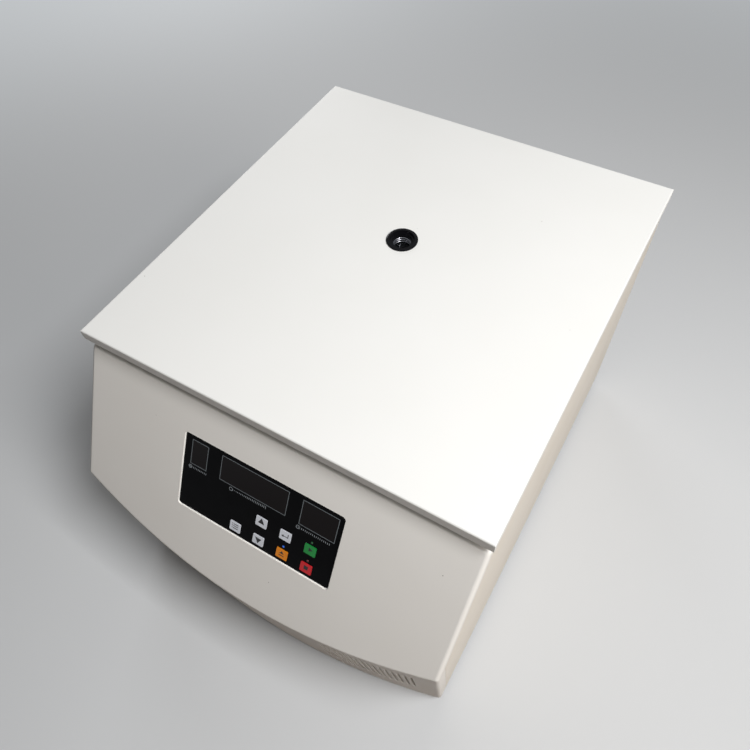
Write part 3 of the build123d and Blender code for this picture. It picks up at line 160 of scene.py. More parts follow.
def bump(tree, shader, height, strength, depth):
    """Embosses the surface; depth is in metres."""
    relief = add(tree, "ShaderNodeBump", [
        ("Strength", strength), ("Distance", depth), ("Height", height),
    ])
    tree.links.new(relief.outputs["Normal"], shader.inputs["Normal"])


print("white is", linear("#FFFFFF"))

# %% [markdown]
# ## Powder-coated steel
# The housing and the lid are folded steel sheet with a baked powder coat. Powder melts into a
# film with a faint orange-peel ripple about 2 mm across, which is why its highlights look soft
# and slightly broken. A plain noise texture on the bump gives that ripple. Larger noise moves
# the colour by a percent or two and the roughness where hands and cloths have polished it, and
# a few specks of dust lie on it, as they do in the photograph. The ripple is drawn a little
# coarser than the real one so that it still shows at this distance.

# %% Powder coat
RIPPLE_MM = 2.6
RIPPLE_DEPTH = 0.06 * MM
BLOTCH_MM = 90
SPECK_SPACING_MM = 26
SPECK_SIZE = 0.018                          # a speck's radius over the spacing
SPECK_SHARE = 0.30                          # cells that hold a speck
DUST = "#8F8A82"


def dust_specks(tree, place):
    """One where a speck lies, at the middle of some cells of a Voronoi texture, and else zero."""
    cells = add(tree, "ShaderNodeTexVoronoi", [
        ("Vector", place), ("Scale", per_metre(SPECK_SPACING_MM)),
    ])
    cell = add(tree, "ShaderNodeSeparateColor", [("Color", cells.outputs["Color"])])
    near = combine(tree, "LESS_THAN", cells.outputs["Distance"], SPECK_SIZE)
    few = combine(tree, "LESS_THAN", cell.outputs["Red"], SPECK_SHARE)
    return combine(tree, "MULTIPLY", near, few)


def powder_coat(name, colour, shade, roughness=0.36, specular=0.5):
    material, tree, shader, place = start(name, colour, roughness)
    blotch = noise(tree, place, BLOTCH_MM)
    tint(tree, shader, dust_specks(tree, place), blend(tree, blotch, colour, shade), DUST)
    gloss(tree, shader, blotch, roughness - 0.05, roughness + 0.07)
    bump(tree, shader, noise(tree, place, RIPPLE_MM, Detail=2.0), 0.35, RIPPLE_DEPTH)
    return set_input(material, "Specular IOR Level", specular)


LID_PAINT = powder_coat("white_powder_coat", "#F1F1EF", "#ECECE9")
FRONT_PAINT = powder_coat("light_grey_powder_coat", "#F4F2EE", "#EEEBE6", 0.5, 0.08)
# The housing's coat is partly its own warm off-white and partly painted light: its extra cream over
# the front's paint stands in for warm light bounced from the floor onto the sides.
HOUSING_PAINT = powder_coat("cream_coat_with_painted_warm_bounce", "#E9E1D4", "#E3DACB")
print("powder coats ready, ripple", RIPPLE_MM, "mm")

# %% [markdown]
# ## Bare and plated metals
# Spun stainless steel, turned steel and anodised aluminium have rings round the rotor's axis from
# the lathe tool. Rolled and brushed stainless has a straight grain. Nickel plate and primed steel
# have an even skin. Each is one noise texture, and where the tool left lines it is stretched along
# them, because stretching is cheaper and more even than drawing the scratches one by one.

# %% Metals
AXIS = (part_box("spindle")[0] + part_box("spindle")[1]) / 2
GRAIN_DEPTH = 0.04 * MM
SMUDGE_MM = 60
SMUDGE_SHARE = 0.4                          # the rest of the colour and gloss follows the grain
BRUSHED_ALONG_X = (0.02, 1, 1)              # a grain 50 times as long as it is wide


def about_axis(tree, place):
    """The distance from the rotor's axis as x and the height as y, for rings left by a lathe."""
    moved = add(tree, "ShaderNodeMapping", [
        ("Vector", place), ("Location", (-AXIS.x, -AXIS.y, 0)),
    ])
    flat = add(tree, "ShaderNodeVectorMath", [
        (0, moved.outputs["Vector"]), (1, (1, 1, 0)),
    ], operation="MULTIPLY")
    radius = add(tree, "ShaderNodeVectorMath", [(0, flat.outputs["Vector"])], operation="LENGTH")
    height = add(tree, "ShaderNodeSeparateXYZ", [("Vector", place)])
    rings = add(tree, "ShaderNodeCombineXYZ", [
        ("X", radius.outputs["Value"]), ("Y", height.outputs["Z"]),
    ])
    return rings.outputs["Vector"]


def metal(name, colour, dark, roughness, strength, grain_mm, turned=False, stretch=(1, 1, 1),
          metallic=1.0):
    """A metal whose grain shows in bump, colour and gloss; a turned one has it in rings."""
    material, tree, shader, place = start(name, colour, roughness, metallic)
    along = add(tree, "ShaderNodeMapping", [
        ("Vector", about_axis(tree, place) if turned else place), ("Scale", stretch),
    ])
    grain = noise(tree, along.outputs["Vector"], grain_mm, Detail=3.0)
    both = add(tree, "ShaderNodeMix", [
        ("Factor", SMUDGE_SHARE), (NUMBER_A, grain), (NUMBER_B, noise(tree, place, SMUDGE_MM)),
    ]).outputs[NUMBER_OUT]
    tint(tree, shader, both, colour, dark)
    gloss(tree, shader, both, roughness - 0.08, roughness + 0.12)
    bump(tree, shader, grain, strength, GRAIN_DEPTH)
    return material


SPUN = metal("spun_stainless_steel", "#CFCECB", "#A9A8A5", 0.28, 0.5, 1.1, turned=True)
BRUSHED = metal("brushed_stainless_steel", "#CBCAC7", "#A8A7A4", 0.30, 0.5, 0.7,
                stretch=BRUSHED_ALONG_X)
TURNED = metal("turned_steel", "#BDBCBA", "#8E8D8B", 0.26, 0.3, 0.8, turned=True)
ANODISED = metal("anodised_aluminium", "#C3C5C9", "#A4A7AD", 0.38, 0.35, 0.9, turned=True)
NICKEL = metal("nickel_plated_steel", "#C9C5BC", "#A59F93", 0.20, 0.15, 3.0)
PRIMED = metal("primed_steel_plate", "#5E6063", "#494B4E", 0.55, 0.5, 2.0, metallic=0.0)
print("metals ready, axis at", [round(v, 4) for v in AXIS])

# %% [markdown]
# ## Zinc plate and castings
# Zinc plate shows soft patches of slightly different grey, like frost on a window, which a
# Voronoi texture draws cell by cell. A sand casting is matt and pitted: one noise on the bump
# does it, and the same noise keeps its hollows darker.

# %% Zinc plate and cast aluminium
PATCH_MM = 7
PIT_MM = 1.4
PIT_DEPTH = 0.2 * MM


def zinc_plate():
    material, tree, shader, place = start("zinc_plated_sheet", "#B9BCBE", 0.42, 1.0)
    patch = add(tree, "ShaderNodeTexVoronoi", [("Vector", place), ("Scale", per_metre(PATCH_MM))])
    value = add(tree, "ShaderNodeSeparateColor", [("Color", patch.outputs["Color"])])
    tint(tree, shader, value.outputs["Green"], "#C2C5C7", "#A6A9AC")
    gloss(tree, shader, value.outputs["Red"], 0.34, 0.5)
    return material


def cast_aluminium():
    material, tree, shader, place = start("cast_aluminium", "#A9ABAC", 0.58, 1.0)
    pit = noise(tree, place, PIT_MM, Detail=5.0, Roughness=0.7)
    tint(tree, shader, pit, "#8C8E90", "#B9BBBC")
    bump(tree, shader, pit, 0.6, PIT_DEPTH)
    return material


ZINC = zinc_plate()
CAST = cast_aluminium()
print("zinc patches", PATCH_MM, "mm, casting pits", PIT_MM, "mm")

# %% [markdown]
# ## Rubber and moulded plastic
# Rubber feet and seals are nearly black, with a dusty bloom that lightens them in patches and
# takes away all gloss. Moulded housings and switches are black ABS or nylon. Their mould was
# etched with a fine grain, so they shine softly. The sight port's bushing and the rocker came
# from a polished mould, so they have little grain and a sharp gloss.

# %% Rubber and plastics
BLOOM_MM = 11
SKIN_MM = 0.9
SKIN_DEPTH = 0.1 * MM
WEAR_MM = 18
ETCH_MM = 0.5
ETCH_DEPTH = 0.05 * MM


def rubber(name, colour, bloom):
    material, tree, shader, place = start(name, colour, 0.78)
    tint(tree, shader, noise(tree, place, BLOOM_MM, Detail=4.0), colour, bloom)
    bump(tree, shader, noise(tree, place, SKIN_MM), 0.35, SKIN_DEPTH)
    return material


def moulded_plastic(name, colour, worn, roughness, grain_strength):
    material, tree, shader, place = start(name, colour, roughness)
    wear = noise(tree, place, WEAR_MM)
    tint(tree, shader, wear, colour, worn)
    gloss(tree, shader, wear, roughness - 0.04, roughness + 0.08)
    bump(tree, shader, noise(tree, place, ETCH_MM, Detail=2.0), grain_strength, ETCH_DEPTH)
    return material


FOOT_RUBBER = rubber("nitrile_foot_rubber", "#1B1A19", "#2B2927")
SEAL_RUBBER = rubber("silicone_seal_rubber", "#262524", "#343230")
BLACK_NYLON = moulded_plastic("black_moulded_nylon", "#18181A", "#222224", 0.42, 0.35)
POLISHED_ABS = moulded_plastic("black_polished_abs", "#0B0B0D", "#131316", 0.16, 0.06)
set_input(POLISHED_ABS, "Specular IOR Level", 0.12)
print("rubber and plastics ready")

# %% [markdown]
# ## The control film, its lenses and its keys
# The control panel is one sheet of black polycarbonate film in a shallow pressed recess, with a
# fine velvet texture on its face. The display windows in it are smoked red, so that unlit digits
# hardly show. The disc in the sight port is tinted grey as painted shade, to keep the port as
# dark as its shaded bore. The keys are the same film in other colours. A separate printing ink
# draws frames and symbols a few hundredths of a millimetre proud of the film, as silk-screen ink
# is. The mesh of the screen leaves its colour uneven.

# %% Film, lens, lamp and ink
FILM_GRAIN = 0.22
POLYCARBONATE_IOR = 1.58
INK_WEAVE_MM = 0.8


def textured_film(name, colour, other, roughness=0.34, specular=0.5):
    film = moulded_plastic(name, colour, other, roughness, FILM_GRAIN)
    return set_input(film, "Specular IOR Level", specular)


def lens(name, colour, roughness, haze_mm, low, high, inputs):
    """A lens with a faint haze in its gloss; inputs are the shader's other plain values."""
    material, tree, shader, place = start(name, colour, roughness)
    gloss(tree, shader, noise(tree, place, haze_mm), low, high)
    for key, value in inputs.items():
        shader.inputs[key].default_value = value
    return material


def lamp_lens(name, colour):
    cloudy = {"Subsurface Weight": 0.2, "Subsurface Scale": 0.002}
    return lens(name, colour, 0.22, 1.2, 0.14, 0.3, cloudy)


def printing_ink(name, colour, thin):
    material, tree, shader, place = start(name, colour, 0.5)
    tint(tree, shader, noise(tree, place, INK_WEAVE_MM), colour, thin)
    return material


FILM = textured_film("black_polycarbonate_film", "#060607", "#0A0A0C", 0.3, 0.04)
KEY_PALE = textured_film("pale_key_film", "#E2E6EE", "#D6DAE4")
KEY_ORANGE = textured_film("orange_key_film", "#F0920E", "#E2800A")
KEY_GREEN = textured_film("green_key_film", "#0E8F3C", "#0B7F34")
KEY_RED = textured_film("red_key_film", "#D8202B", "#C41822")
LENS = lens("smoked_red_lens", "#0E0606", 0.10, 9, 0.06, 0.16, {
    "Transmission Weight": 0.15, "Specular IOR Level": 0.06, "IOR": POLYCARBONATE_IOR,
})
# Painted shade: the grey tint darkens the sight glass, which is normally clear, so that the port
# reads as dark as its shaded bore.
PORT_SHADE_DISC = lens("grey_painted_shade_polycarbonate", "#4A5054", 0.04, 4, 0.02, 0.08, {
    "Transmission Weight": 0.95, "IOR": POLYCARBONATE_IOR,
})
LAMP_BLUE = lamp_lens("blue_lamp_lens", "#2E6FE0")
LAMP_GREEN = lamp_lens("green_lamp_lens", "#0C4A22")
LAMP_RED = lamp_lens("red_lamp_lens", "#5A0D10")
LAMP_BODY = lamp_lens("dark_lamp_body", "#1E2022")
LIGHT_INK = printing_ink("light_grey_ink", "#9DA3A8", "#848A90")
DARK_INK = printing_ink("black_ink", "#121214", "#222226")
FRAME_INK = printing_ink("grey_frame_ink", "#6E7478", "#5C6266")
print("film, lenses and inks ready")

# %% [markdown]
# ## Boards
# Two flat materials are left: green glass-fibre laminate for the key board, whose woven glass
# shows faintly through the lacquer, and the felted board between the lid's two sheets.

# %% Laminate and felt
WEAVE_MM = 22
FIBRE_MM = 1.6
FIBRE_DEPTH = 0.4 * MM


def glass_laminate():
    material, tree, shader, place = start("glass_fibre_laminate", "#1E5B38", 0.3)
    weave = add(tree, "ShaderNodeTexWave", [
        ("Vector", place), ("Scale", per_metre(WEAVE_MM)), ("Distortion", 1.5),
    ])
    tint(tree, shader, weave.outputs["Fac"], "#1E5B38", "#266B44")
    return material


def felt_board():
    material, tree, shader, place = start("felted_board", "#565452", 0.95)
    fibre = noise(tree, place, FIBRE_MM, Detail=6.0, Distortion=1.2)
    tint(tree, shader, fibre, "#474543", "#6A6865")
    bump(tree, shader, fibre, 0.7, FIBRE_DEPTH)
    return material


LAMINATE = glass_laminate()
FELT = felt_board()
print("materials made:", len(bpy.data.materials))

# %% [markdown]
# ## Giving the CAD pieces their finish
# A CAD piece keeps its shape and place. Its finish is simply another material in its slots, so
# one table of which piece is made of what is all that this step needs. The last line prints the
# pieces that the table forgot, and has to print an empty list.

# %% Assign finishes
FINISHES = {
    "lid_cover": LID_PAINT,
    "front_panel": FRONT_PAINT,
    "body_wrap": HOUSING_PAINT,
    "rear_panel": HOUSING_PAINT,
    "base_pan": ZINC,
    "feet": FOOT_RUBBER,
    "chamber_bowl": SPUN,
    "chamber_gasket": SEAL_RUBBER,
    "guard_ring": PRIMED,
    "boot_seal": SEAL_RUBBER,
    "motor_plate": ZINC,
    "isolators": FOOT_RUBBER,
    "posts": TURNED,
    "motor_housing": CAST,
    "motor_end_cap": CAST,
    "spindle": TURNED,
    "rotor_head": ANODISED,
    "rotor_nut": TURNED,
    "lid_liner": BRUSHED,
    "lid_core": FELT,
    "sight_bushing": POLISHED_ABS,
    "sight_glass": PORT_SHADE_DISC,
    "bushing_nut": BLACK_NYLON,
    "lid_striker": BRUSHED,
    "hinge_leaves_lid": BRUSHED,
    "hinge_leaves_fixed": BRUSHED,
    "hinge_pins": BRUSHED,
    "lock_bracket": ZINC,
    "lock_solenoid": BLACK_NYLON,
    "lock_bolt": BRUSHED,
    "panel_overlay": FILM,
    "display_windows": LENS,
    "display_modules": BLACK_NYLON,
    "key_board": LAMINATE,
    "indicator_lights": LAMP_BODY,
    "drive_unit": CAST,
    "line_filter": ZINC,
    "fan_frame": BLACK_NYLON,
    "fan_wheel": BLACK_NYLON,
    "fan_guard": NICKEL,
    "inlet_socket": BLACK_NYLON,
    "rocker_frame": BLACK_NYLON,
    "rocker": POLISHED_ABS,
    "case_screws": NICKEL,
    "lid_screws": NICKEL,
    "key_function": KEY_PALE,
    "key_up": KEY_PALE,
    "key_down": KEY_PALE,
    "key_enter": KEY_PALE,
    "key_open": KEY_ORANGE,
    "key_start": KEY_GREEN,
    "key_stop": KEY_RED,
}
for number in range(1, 5):
    FINISHES[f"bucket_{number}"] = ANODISED
    FINISHES[f"cushion_{number}"] = SEAL_RUBBER


def give_finish(thing, material):
    thing.data.materials.clear()
    thing.data.materials.append(material)


for name, material in FINISHES.items():
    give_finish(nodes[name], material)
print("without a finish:", sorted(set(nodes) - set(FINISHES)))

# %% [markdown]
# ## Working on the sloping panel
# Everything printed on the panel is laid out flat, in millimetres across and up the slope, and
# then placed by one matrix. The matrix comes from the film itself: the middle of its box is the
# middle of the sheet, and the slope's angle is the one named value that the box can't give.

# %% The panel's own coordinates
SLOPE = math.radians(59.6)
FILM_T = 0.8 * MM
film_low, film_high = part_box("panel_overlay")
NORMAL = Vector((0, -math.sin(SLOPE), math.cos(SLOPE)))
UP = Vector((0, math.cos(SLOPE), math.sin(SLOPE)))
FACE = (film_low + film_high) / 2 + NORMAL * FILM_T / 2
PANEL = Matrix((
    (1, UP.x, NORMAL.x, FACE.x),
    (0, UP.y, NORMAL.y, FACE.y),
    (0, UP.z, NORMAL.z, FACE.z),
    (0, 0, 0, 1),
))
INK_T = 0.05 * MM
print("film face centre", [round(v, 4) for v in FACE])

# %% [markdown]
# ## Turning a bmesh into a piece
# Each new piece is shaped in a bmesh and ends as a mesh object at the origin, with its place in
# its vertices, like the CAD pieces. It rides on the body that carries it and gets its material.

# %% Piece helper
def as_mesh(name, shape):
    """Turns a bmesh into a mesh and frees it."""
    mesh = bpy.data.meshes.new(name)
    shape.to_mesh(mesh)
    shape.free()
    return mesh


def finish_piece(name, shape, material, body):
    """Makes the bmesh an object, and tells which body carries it."""
    bmesh.ops.recalc_face_normals(shape, faces=shape.faces)
    mesh = as_mesh(name, shape)
    thing = bpy.data.objects.new(name, mesh)
    bpy.context.scene.collection.objects.link(thing)
    give_finish(thing, material)
    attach(thing, body)
    print(name, len(mesh.polygons), "faces")
    return thing


def bar(shape, width, height, depth, place):
    """A small block set by a matrix; width, height and depth are metres."""
    size = Matrix.Diagonal((width, height, depth, 1))
    return bmesh.ops.create_cube(shape, size=1, matrix=place @ size)["verts"]


def at(u_mm, v_mm, w_mm=0.0):
    """A place on the panel: across, up the slope and out of it, in millimetres."""
    return PANEL @ Matrix.Translation(Vector((u_mm, v_mm, w_mm)) * MM)


print("panel's middle at", [round(v, 4) for v in at(0, 0).translation])

# %% [markdown]
# ## Printed frames round the windows
# Each window is outlined by a thin grey line. The line is a plane whose rim is inset, cut free
# and raised, which makes one closed shape with exact corners. Four overlapping bars would look
# the same, but would cut into each other.

# %% Window frames
WINDOWS = ((-71.4, 18.2), (-7.4, 75.2), (65.1, 37.4))  # middle across and width, millimetres
WINDOW_UP = 24.3
WINDOW_H = 27.0
LINE_MM = 0.7
INK_MM = INK_T / MM
CORNER_STEPS = 8


def rim(shape, width, height, wall, thick, place, corner=0.0):
    """A raised frame in millimetres, its outer corners rounded; returns its upper vertices."""
    outline = bmesh.ops.create_grid(shape, x_segments=1, y_segments=1, size=0.5)["verts"]
    for vertex in outline:
        vertex.co.x *= width * MM
        vertex.co.y *= height * MM
    if corner:
        outline = bmesh.ops.bevel(
            shape, geom=outline, offset=corner * MM, segments=CORNER_STEPS, profile=0.5,
            affect="VERTICES", material=-1,
        )["verts"]
    middle = outline[0].link_faces[0]
    edge = bmesh.ops.inset_region(
        shape, faces=[middle], thickness=wall * MM, use_boundary=True, use_even_offset=True,
    )["faces"]
    bmesh.ops.delete(shape, geom=[middle], context="FACES_ONLY")
    low = {vertex for face in edge for vertex in face.verts}
    high = bmesh.ops.extrude_face_region(shape, geom=edge)["geom"]
    high = [item for item in high if isinstance(item, bmesh.types.BMVert)]
    bmesh.ops.translate(shape, vec=(0, 0, thick * MM), verts=high)
    bmesh.ops.transform(shape, matrix=place, verts=high + list(low))
    return high


frames = bmesh.new()
for u, width in WINDOWS:
    rim(
        frames, width + 2 * LINE_MM, WINDOW_H + 2 * LINE_MM, LINE_MM, 2 * INK_MM,
        at(u, WINDOW_UP, -INK_MM),
    )
finish_piece("window_frames", frames, FRAME_INK, "cabinet")

# %% [markdown]
# ## A bead round the film
# A white bead closes the narrow gap between the film and the wall of its recess. Its white is a
# painted highlight that stands in for the lit, rounded edge of the recess. Seen from the right it
# shows at the left and below, where the recess opens towards the eye. It is the same kind of rim
# with rounded corners, and its upper edges are bevelled so that they catch light.

# %% Edge bead
RECESS_W = 180.0
RECESS_H = 88.5
RECESS_CORNER = 4.0
BEAD_W = 0.65
BEAD_H = 0.3
BEAD_BEVEL = 0.12
HAIR = 0.02                                 # keeps the bead off the wall and sinks it in the film
bead = bmesh.new()
crown = rim(
    bead, RECESS_W - 2 * HAIR, RECESS_H - 2 * HAIR, BEAD_W, BEAD_H + HAIR, at(0, 0, -HAIR),
    RECESS_CORNER,
)


def on_crown(part):
    return all(vertex in crown for vertex in part.verts)


crest = [
    edge for edge in bead.edges
    if on_crown(edge) and not all(on_crown(face) for face in edge.link_faces)
]
bmesh.ops.bevel(
    bead, geom=crest, offset=BEAD_BEVEL * MM, segments=2, profile=0.5, affect="EDGES", material=-1,
)
# Painted highlight: the bead's white stands in for the lit, rounded edge of the recess.
BEAD_PAINTED_HIGHLIGHT = rubber("white_bead_painted_highlight", "#FAFAF8", "#F2F2EF")
finish_piece("film_edge_bead", bead, BEAD_PAINTED_HIGHLIGHT, "cabinet")

# %% [markdown]
# ## Digits behind the windows
# Behind the smoked lenses stand seven-segment digits, unlit. Each segment is a flat bar with
# pointed ends. One segment shape is used seven times for a digit, turned for the uprights, and
# the whole digit leans ten degrees as real ones do. Sizes here are millimetres.

# %% Seven-segment digits
DIGIT_H = 14.0
DIGIT_W = 8.0
DIGIT_PITCH = 12.4
SEGMENT_T = 1.5
SEGMENT_DEPTH = 0.2
LEVEL_L = DIGIT_W - 1.2
UPRIGHT_GAP = 0.4
LEAN = math.radians(10)
DIGITS = (1, 5, 2)                          # in each window
MODULE_FACE = -1.1                          # film's face to the digits


def segment(shape, length, place):
    """A bar with pointed ends along the place's X: a six-sided disc whose halves are pulled apart."""
    made = bmesh.ops.create_cone(
        shape, cap_ends=True, segments=6, radius1=SEGMENT_T / 2, radius2=SEGMENT_T / 2,
        depth=SEGMENT_DEPTH, matrix=Matrix.Rotation(math.pi / 2, 4, "Z"),
    )["verts"]
    for vertex in made:
        vertex.co.x += math.copysign((length - SEGMENT_T) / 2, vertex.co.x)
    bmesh.ops.transform(shape, matrix=place, verts=made)


def digit(shape, place):
    lean = Matrix.Identity(4)
    lean[0][1] = math.tan(LEAN)
    half = DIGIT_H / 2 - SEGMENT_T / 2
    for level in (-1, 0, 1):
        segment(shape, LEVEL_L, place @ lean @ Matrix.Translation((0, level * half, 0)))
    for side in (-1, 1):
        for level in (-0.5, 0.5):
            spot = Matrix.Translation((side * (DIGIT_W / 2 - SEGMENT_T / 2), level * half, 0))
            upright = spot @ Matrix.Rotation(math.pi / 2, 4, "Z")
            segment(shape, half - UPRIGHT_GAP, place @ lean @ upright)


digits = bmesh.new()
scale = Matrix.Scale(MM, 4)
for (u, width), count in zip(WINDOWS, DIGITS):
    for i in range(count):
        spot = u + (i - (count - 1) / 2) * DIGIT_PITCH
        place = PANEL @ scale @ Matrix.Translation((spot, WINDOW_UP, MODULE_FACE))
        digit(digits, place)
DIGIT_GREY = printing_ink("unlit_digit_resin", "#8A4A46", "#7A3E3A")
finish_piece("display_digits", digits, DIGIT_GREY, "cabinet")

# %% [markdown]
# ## Symbols on the keys
# The keys carry plain symbols that any instrument could have: arrows up and down, a triangle to
# start, a square to stop, a barred triangle to open, a hooked arrow to enter and three lines for
# the function. Triangles and squares are cones with three or four sides and no taper. Each symbol
# is drawn in millimetres from the middle of its key.

# %% Key symbols
def key_face(name):
    """A matrix at the middle of a key's face, in the panel's directions."""
    low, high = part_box(name)
    middle = PANEL.inverted() @ ((low + high) / 2)
    face = max((PANEL.inverted() @ v.co).z for v in nodes[name].data.vertices)
    return PANEL @ Matrix.Translation((middle.x, middle.y, face))


def polygon(shape, sides, radius_mm, place, turn=0.0, stretch=(1, 1)):
    """A flat prism with that many sides, half sunk in the face."""
    size = Matrix.Diagonal((stretch[0], stretch[1], 1, 1))
    where = place @ size @ Matrix.Rotation(turn, 4, "Z")
    bmesh.ops.create_cone(
        shape, cap_ends=True, segments=sides, radius1=radius_mm * MM, radius2=radius_mm * MM,
        depth=2 * INK_T, matrix=where,
    )


def line(shape, u, v, width, height, place, turn=0.0):
    """A printed bar at u, v on a face, in millimetres."""
    spot = Matrix.Translation((u * MM, v * MM, 0)) @ Matrix.Rotation(turn, 4, "Z")
    bar(shape, width * MM, height * MM, 2 * INK_T, place @ spot)


def arrow_symbol(shape, place, turn):
    polygon(shape, 3, 4.2, place, turn)


def function_symbol(shape, place):
    for v in (-2.4, 0, 2.4):
        line(shape, 0.8, v, 5.6, 0.8, place)
        line(shape, -3.2, v, 1.0, 0.8, place)


def enter_symbol(shape, place):
    line(shape, 0.6, -1.2, 5.4, 0.8, place)
    line(shape, 3.0, 0.6, 0.8, 4.4, place)
    polygon(shape, 3, 1.7, place @ Matrix.Translation((-2.6 * MM, -1.2 * MM, 0)), math.pi / 2)


def open_symbol(shape, place):
    polygon(shape, 3, 2.6, place @ Matrix.Translation((0, 1.0 * MM, 0)), 0.0, (1.1, 0.8))
    line(shape, 0, -2.4, 5.6, 0.9, place)


def start_symbol(shape, place):
    polygon(shape, 3, 2.8, place, -math.pi / 2)


def stop_symbol(shape, place):
    polygon(shape, 4, 3.2, place, math.pi / 4)


print("stop key's face at", [round(v, 4) for v in key_face("key_stop").translation])

# %% [markdown]
# ## Printing them
# Each symbol rides on its own key, so that it sinks with it.

# %% Print the symbols
SYMBOLS = {
    "key_function": function_symbol,
    "key_up": lambda shape, place: arrow_symbol(shape, place, 0.0),
    "key_down": lambda shape, place: arrow_symbol(shape, place, math.pi),
    "key_enter": enter_symbol,
    "key_open": open_symbol,
    "key_start": start_symbol,
    "key_stop": stop_symbol,
}
for name, draw in SYMBOLS.items():
    symbol = bmesh.new()
    draw(symbol, key_face(name))
    finish_piece(name + "_symbol", symbol, DARK_INK, name)

# %% [markdown]
# ## Small pictures under the windows
# Where the photographed machine has printed words, this one has plain signs: a rotor seen from
# above, a turning arrow and a clock, each beside a row of scale marks. All are in millimetres.

# %% Window signs
ROTOR_U, TURN_U, CLOCK_U = -80.5, -31.0, 46.0
SIGN_V = 6.4
SIGN_R = 1.9
SIGN_LINE = 0.5
HAND_LINE = 0.45
HOLE_R = 0.5
HOLE_OUT = 1.0                              # rotor's middle to its holes
RING_STEPS = 32
TICK_MM = 0.6


def ring(shape, radius_mm, width_mm, place, start_angle=0.0, sweep=2 * math.pi):
    """A thin printed ring or part of one, made by spinning its upright profile about its centre."""
    corners = []
    for side, level in ((-1, -1), (1, -1), (1, 1), (-1, 1)):
        corner = Vector(((radius_mm + side * width_mm / 2) * MM, 0, level * INK_T))
        corners.append(shape.verts.new(place @ corner))
    profile = corners + [shape.edges.new(pair) for pair in zip(corners, corners[1:] + corners[:1])]
    whole = math.isclose(sweep, 2 * math.pi)
    if not whole:
        profile.append(shape.faces.new(corners))
    centre = place.translation
    axis = place.to_3x3() @ Vector((0, 0, 1))
    begin = Matrix.Rotation(start_angle, 3, axis)
    bmesh.ops.rotate(shape, cent=centre, matrix=begin, verts=corners)
    bmesh.ops.spin(
        shape, geom=profile, cent=centre, axis=axis, angle=sweep, steps=RING_STEPS,
        use_merge=whole,
    )


def ticks(shape, u, count, pitch, height, rise=0.0):
    """A row of scale marks from u on, each taller than the last by the rise."""
    for i in range(count):
        tall = height + rise * i
        line(shape, u + i * pitch, (tall - height) / 2, TICK_MM, tall, at(0, SIGN_V))


signs = bmesh.new()
for u, sweep in ((ROTOR_U, 2.0), (TURN_U, 1.6), (CLOCK_U, 2.0)):
    ring(signs, SIGN_R, SIGN_LINE, at(u, SIGN_V), 0.6, sweep * math.pi)
for i in range(4):
    turn = Matrix.Rotation(i * math.pi / 2, 4, "Z")
    hole = at(ROTOR_U, SIGN_V) @ turn @ Matrix.Translation((HOLE_OUT * MM, 0, 0))
    polygon(signs, 8, HOLE_R, hole)
polygon(signs, 3, 1.0, at(TURN_U + SIGN_R, SIGN_V - 0.2), math.pi)
line(signs, 0, 0.6, HAND_LINE, 1.4, at(CLOCK_U, SIGN_V))
line(signs, 0.5, 0, 1.1, HAND_LINE, at(CLOCK_U, SIGN_V))
ticks(signs, ROTOR_U + 3.8, 9, 1.9, 2.0)
ticks(signs, TURN_U + 4.2, 20, 1.9, 1.1, 0.1)
ticks(signs, CLOCK_U + 4.0, 16, 2.0, 2.0)
finish_piece("window_signs", signs, LIGHT_INK, "cabinet")

# %% [markdown]
# ## Lamp lenses
# The three lamp bodies are one CAD piece, so they share a dark neutral finish, and each gets its
# colour from a small dome. A real lens is flatter than a ball, so a sphere is squashed along the
# panel's normal and set half sunk on the lamp's tip.

# %% Lamp domes
LAMP_R = 1.25
LAMP_UP = 8.6                               # key's middle to the lamp
LAMP_SUNK = 0.02
LAMP_FLATNESS = 0.5
LAMPS = {
    "key_open": ("lamp_dome_open", LAMP_BLUE),
    "key_start": ("lamp_dome_start", LAMP_GREEN),
    "key_stop": ("lamp_dome_stop", LAMP_RED),
}
for key, (name, material) in LAMPS.items():
    dome = bmesh.new()
    spot = PANEL.inverted() @ key_face(key).translation
    place = PANEL @ Matrix.Translation((spot.x, spot.y + LAMP_UP * MM, -LAMP_SUNK * MM))
    flat = Matrix.Diagonal((1, 1, LAMP_FLATNESS, 1))
    bmesh.ops.create_uvsphere(
        dome, u_segments=24, v_segments=16, radius=LAMP_R * MM, matrix=place @ flat,
    )
    finish_piece(name, dome, material, "cabinet").data.shade_smooth()

# %% [markdown]
# ## Rings in the sight port
# Bright arcs inside the port show that its bore is ringed. Three rings of black-chromed wire lie
# in the grooves of the CAD bushing. Each is a circle swept round the port's axis: a torus
# primitive would need an operator that works on the open scene, which bmesh avoids.

# %% Sight rings
PORT_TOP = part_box("sight_bushing")[1].z / MM
PORT_R = 9.0
RING_COUNT = 3
RING_PITCH = 2.4
RING_FIRST = 4.5 + 0.7 * RING_PITCH + RING_PITCH / 3    # bushing's top to the first groove
RING_R = 0.75
RING_OUT = 0.15                             # bore's wall to the wire's middle
rings = bmesh.new()
for i in range(RING_COUNT):
    level = (PORT_TOP - RING_FIRST - i * RING_PITCH) * MM
    section = Matrix.Translation((AXIS.x + (PORT_R + RING_OUT) * MM, AXIS.y, level))
    section = section @ Matrix.Rotation(math.pi / 2, 4, "X")
    circle = bmesh.ops.create_circle(rings, segments=12, radius=RING_R * MM, matrix=section)["verts"]
    loop = circle + [edge for edge in rings.edges if edge.verts[0] in circle]
    bmesh.ops.spin(
        rings, geom=loop, cent=(AXIS.x, AXIS.y, level), axis=(0, 0, 1), angle=2 * math.pi, steps=64,
        use_merge=True,
    )
BLACK_CHROME = moulded_plastic("black_chromed_wire", "#9C9CA2", "#88888E", 0.26, 0.05)
set_input(BLACK_CHROME, "Metallic", 1.0)
finish_piece("sight_rings", rings, BLACK_CHROME, "lid").data.shade_smooth()

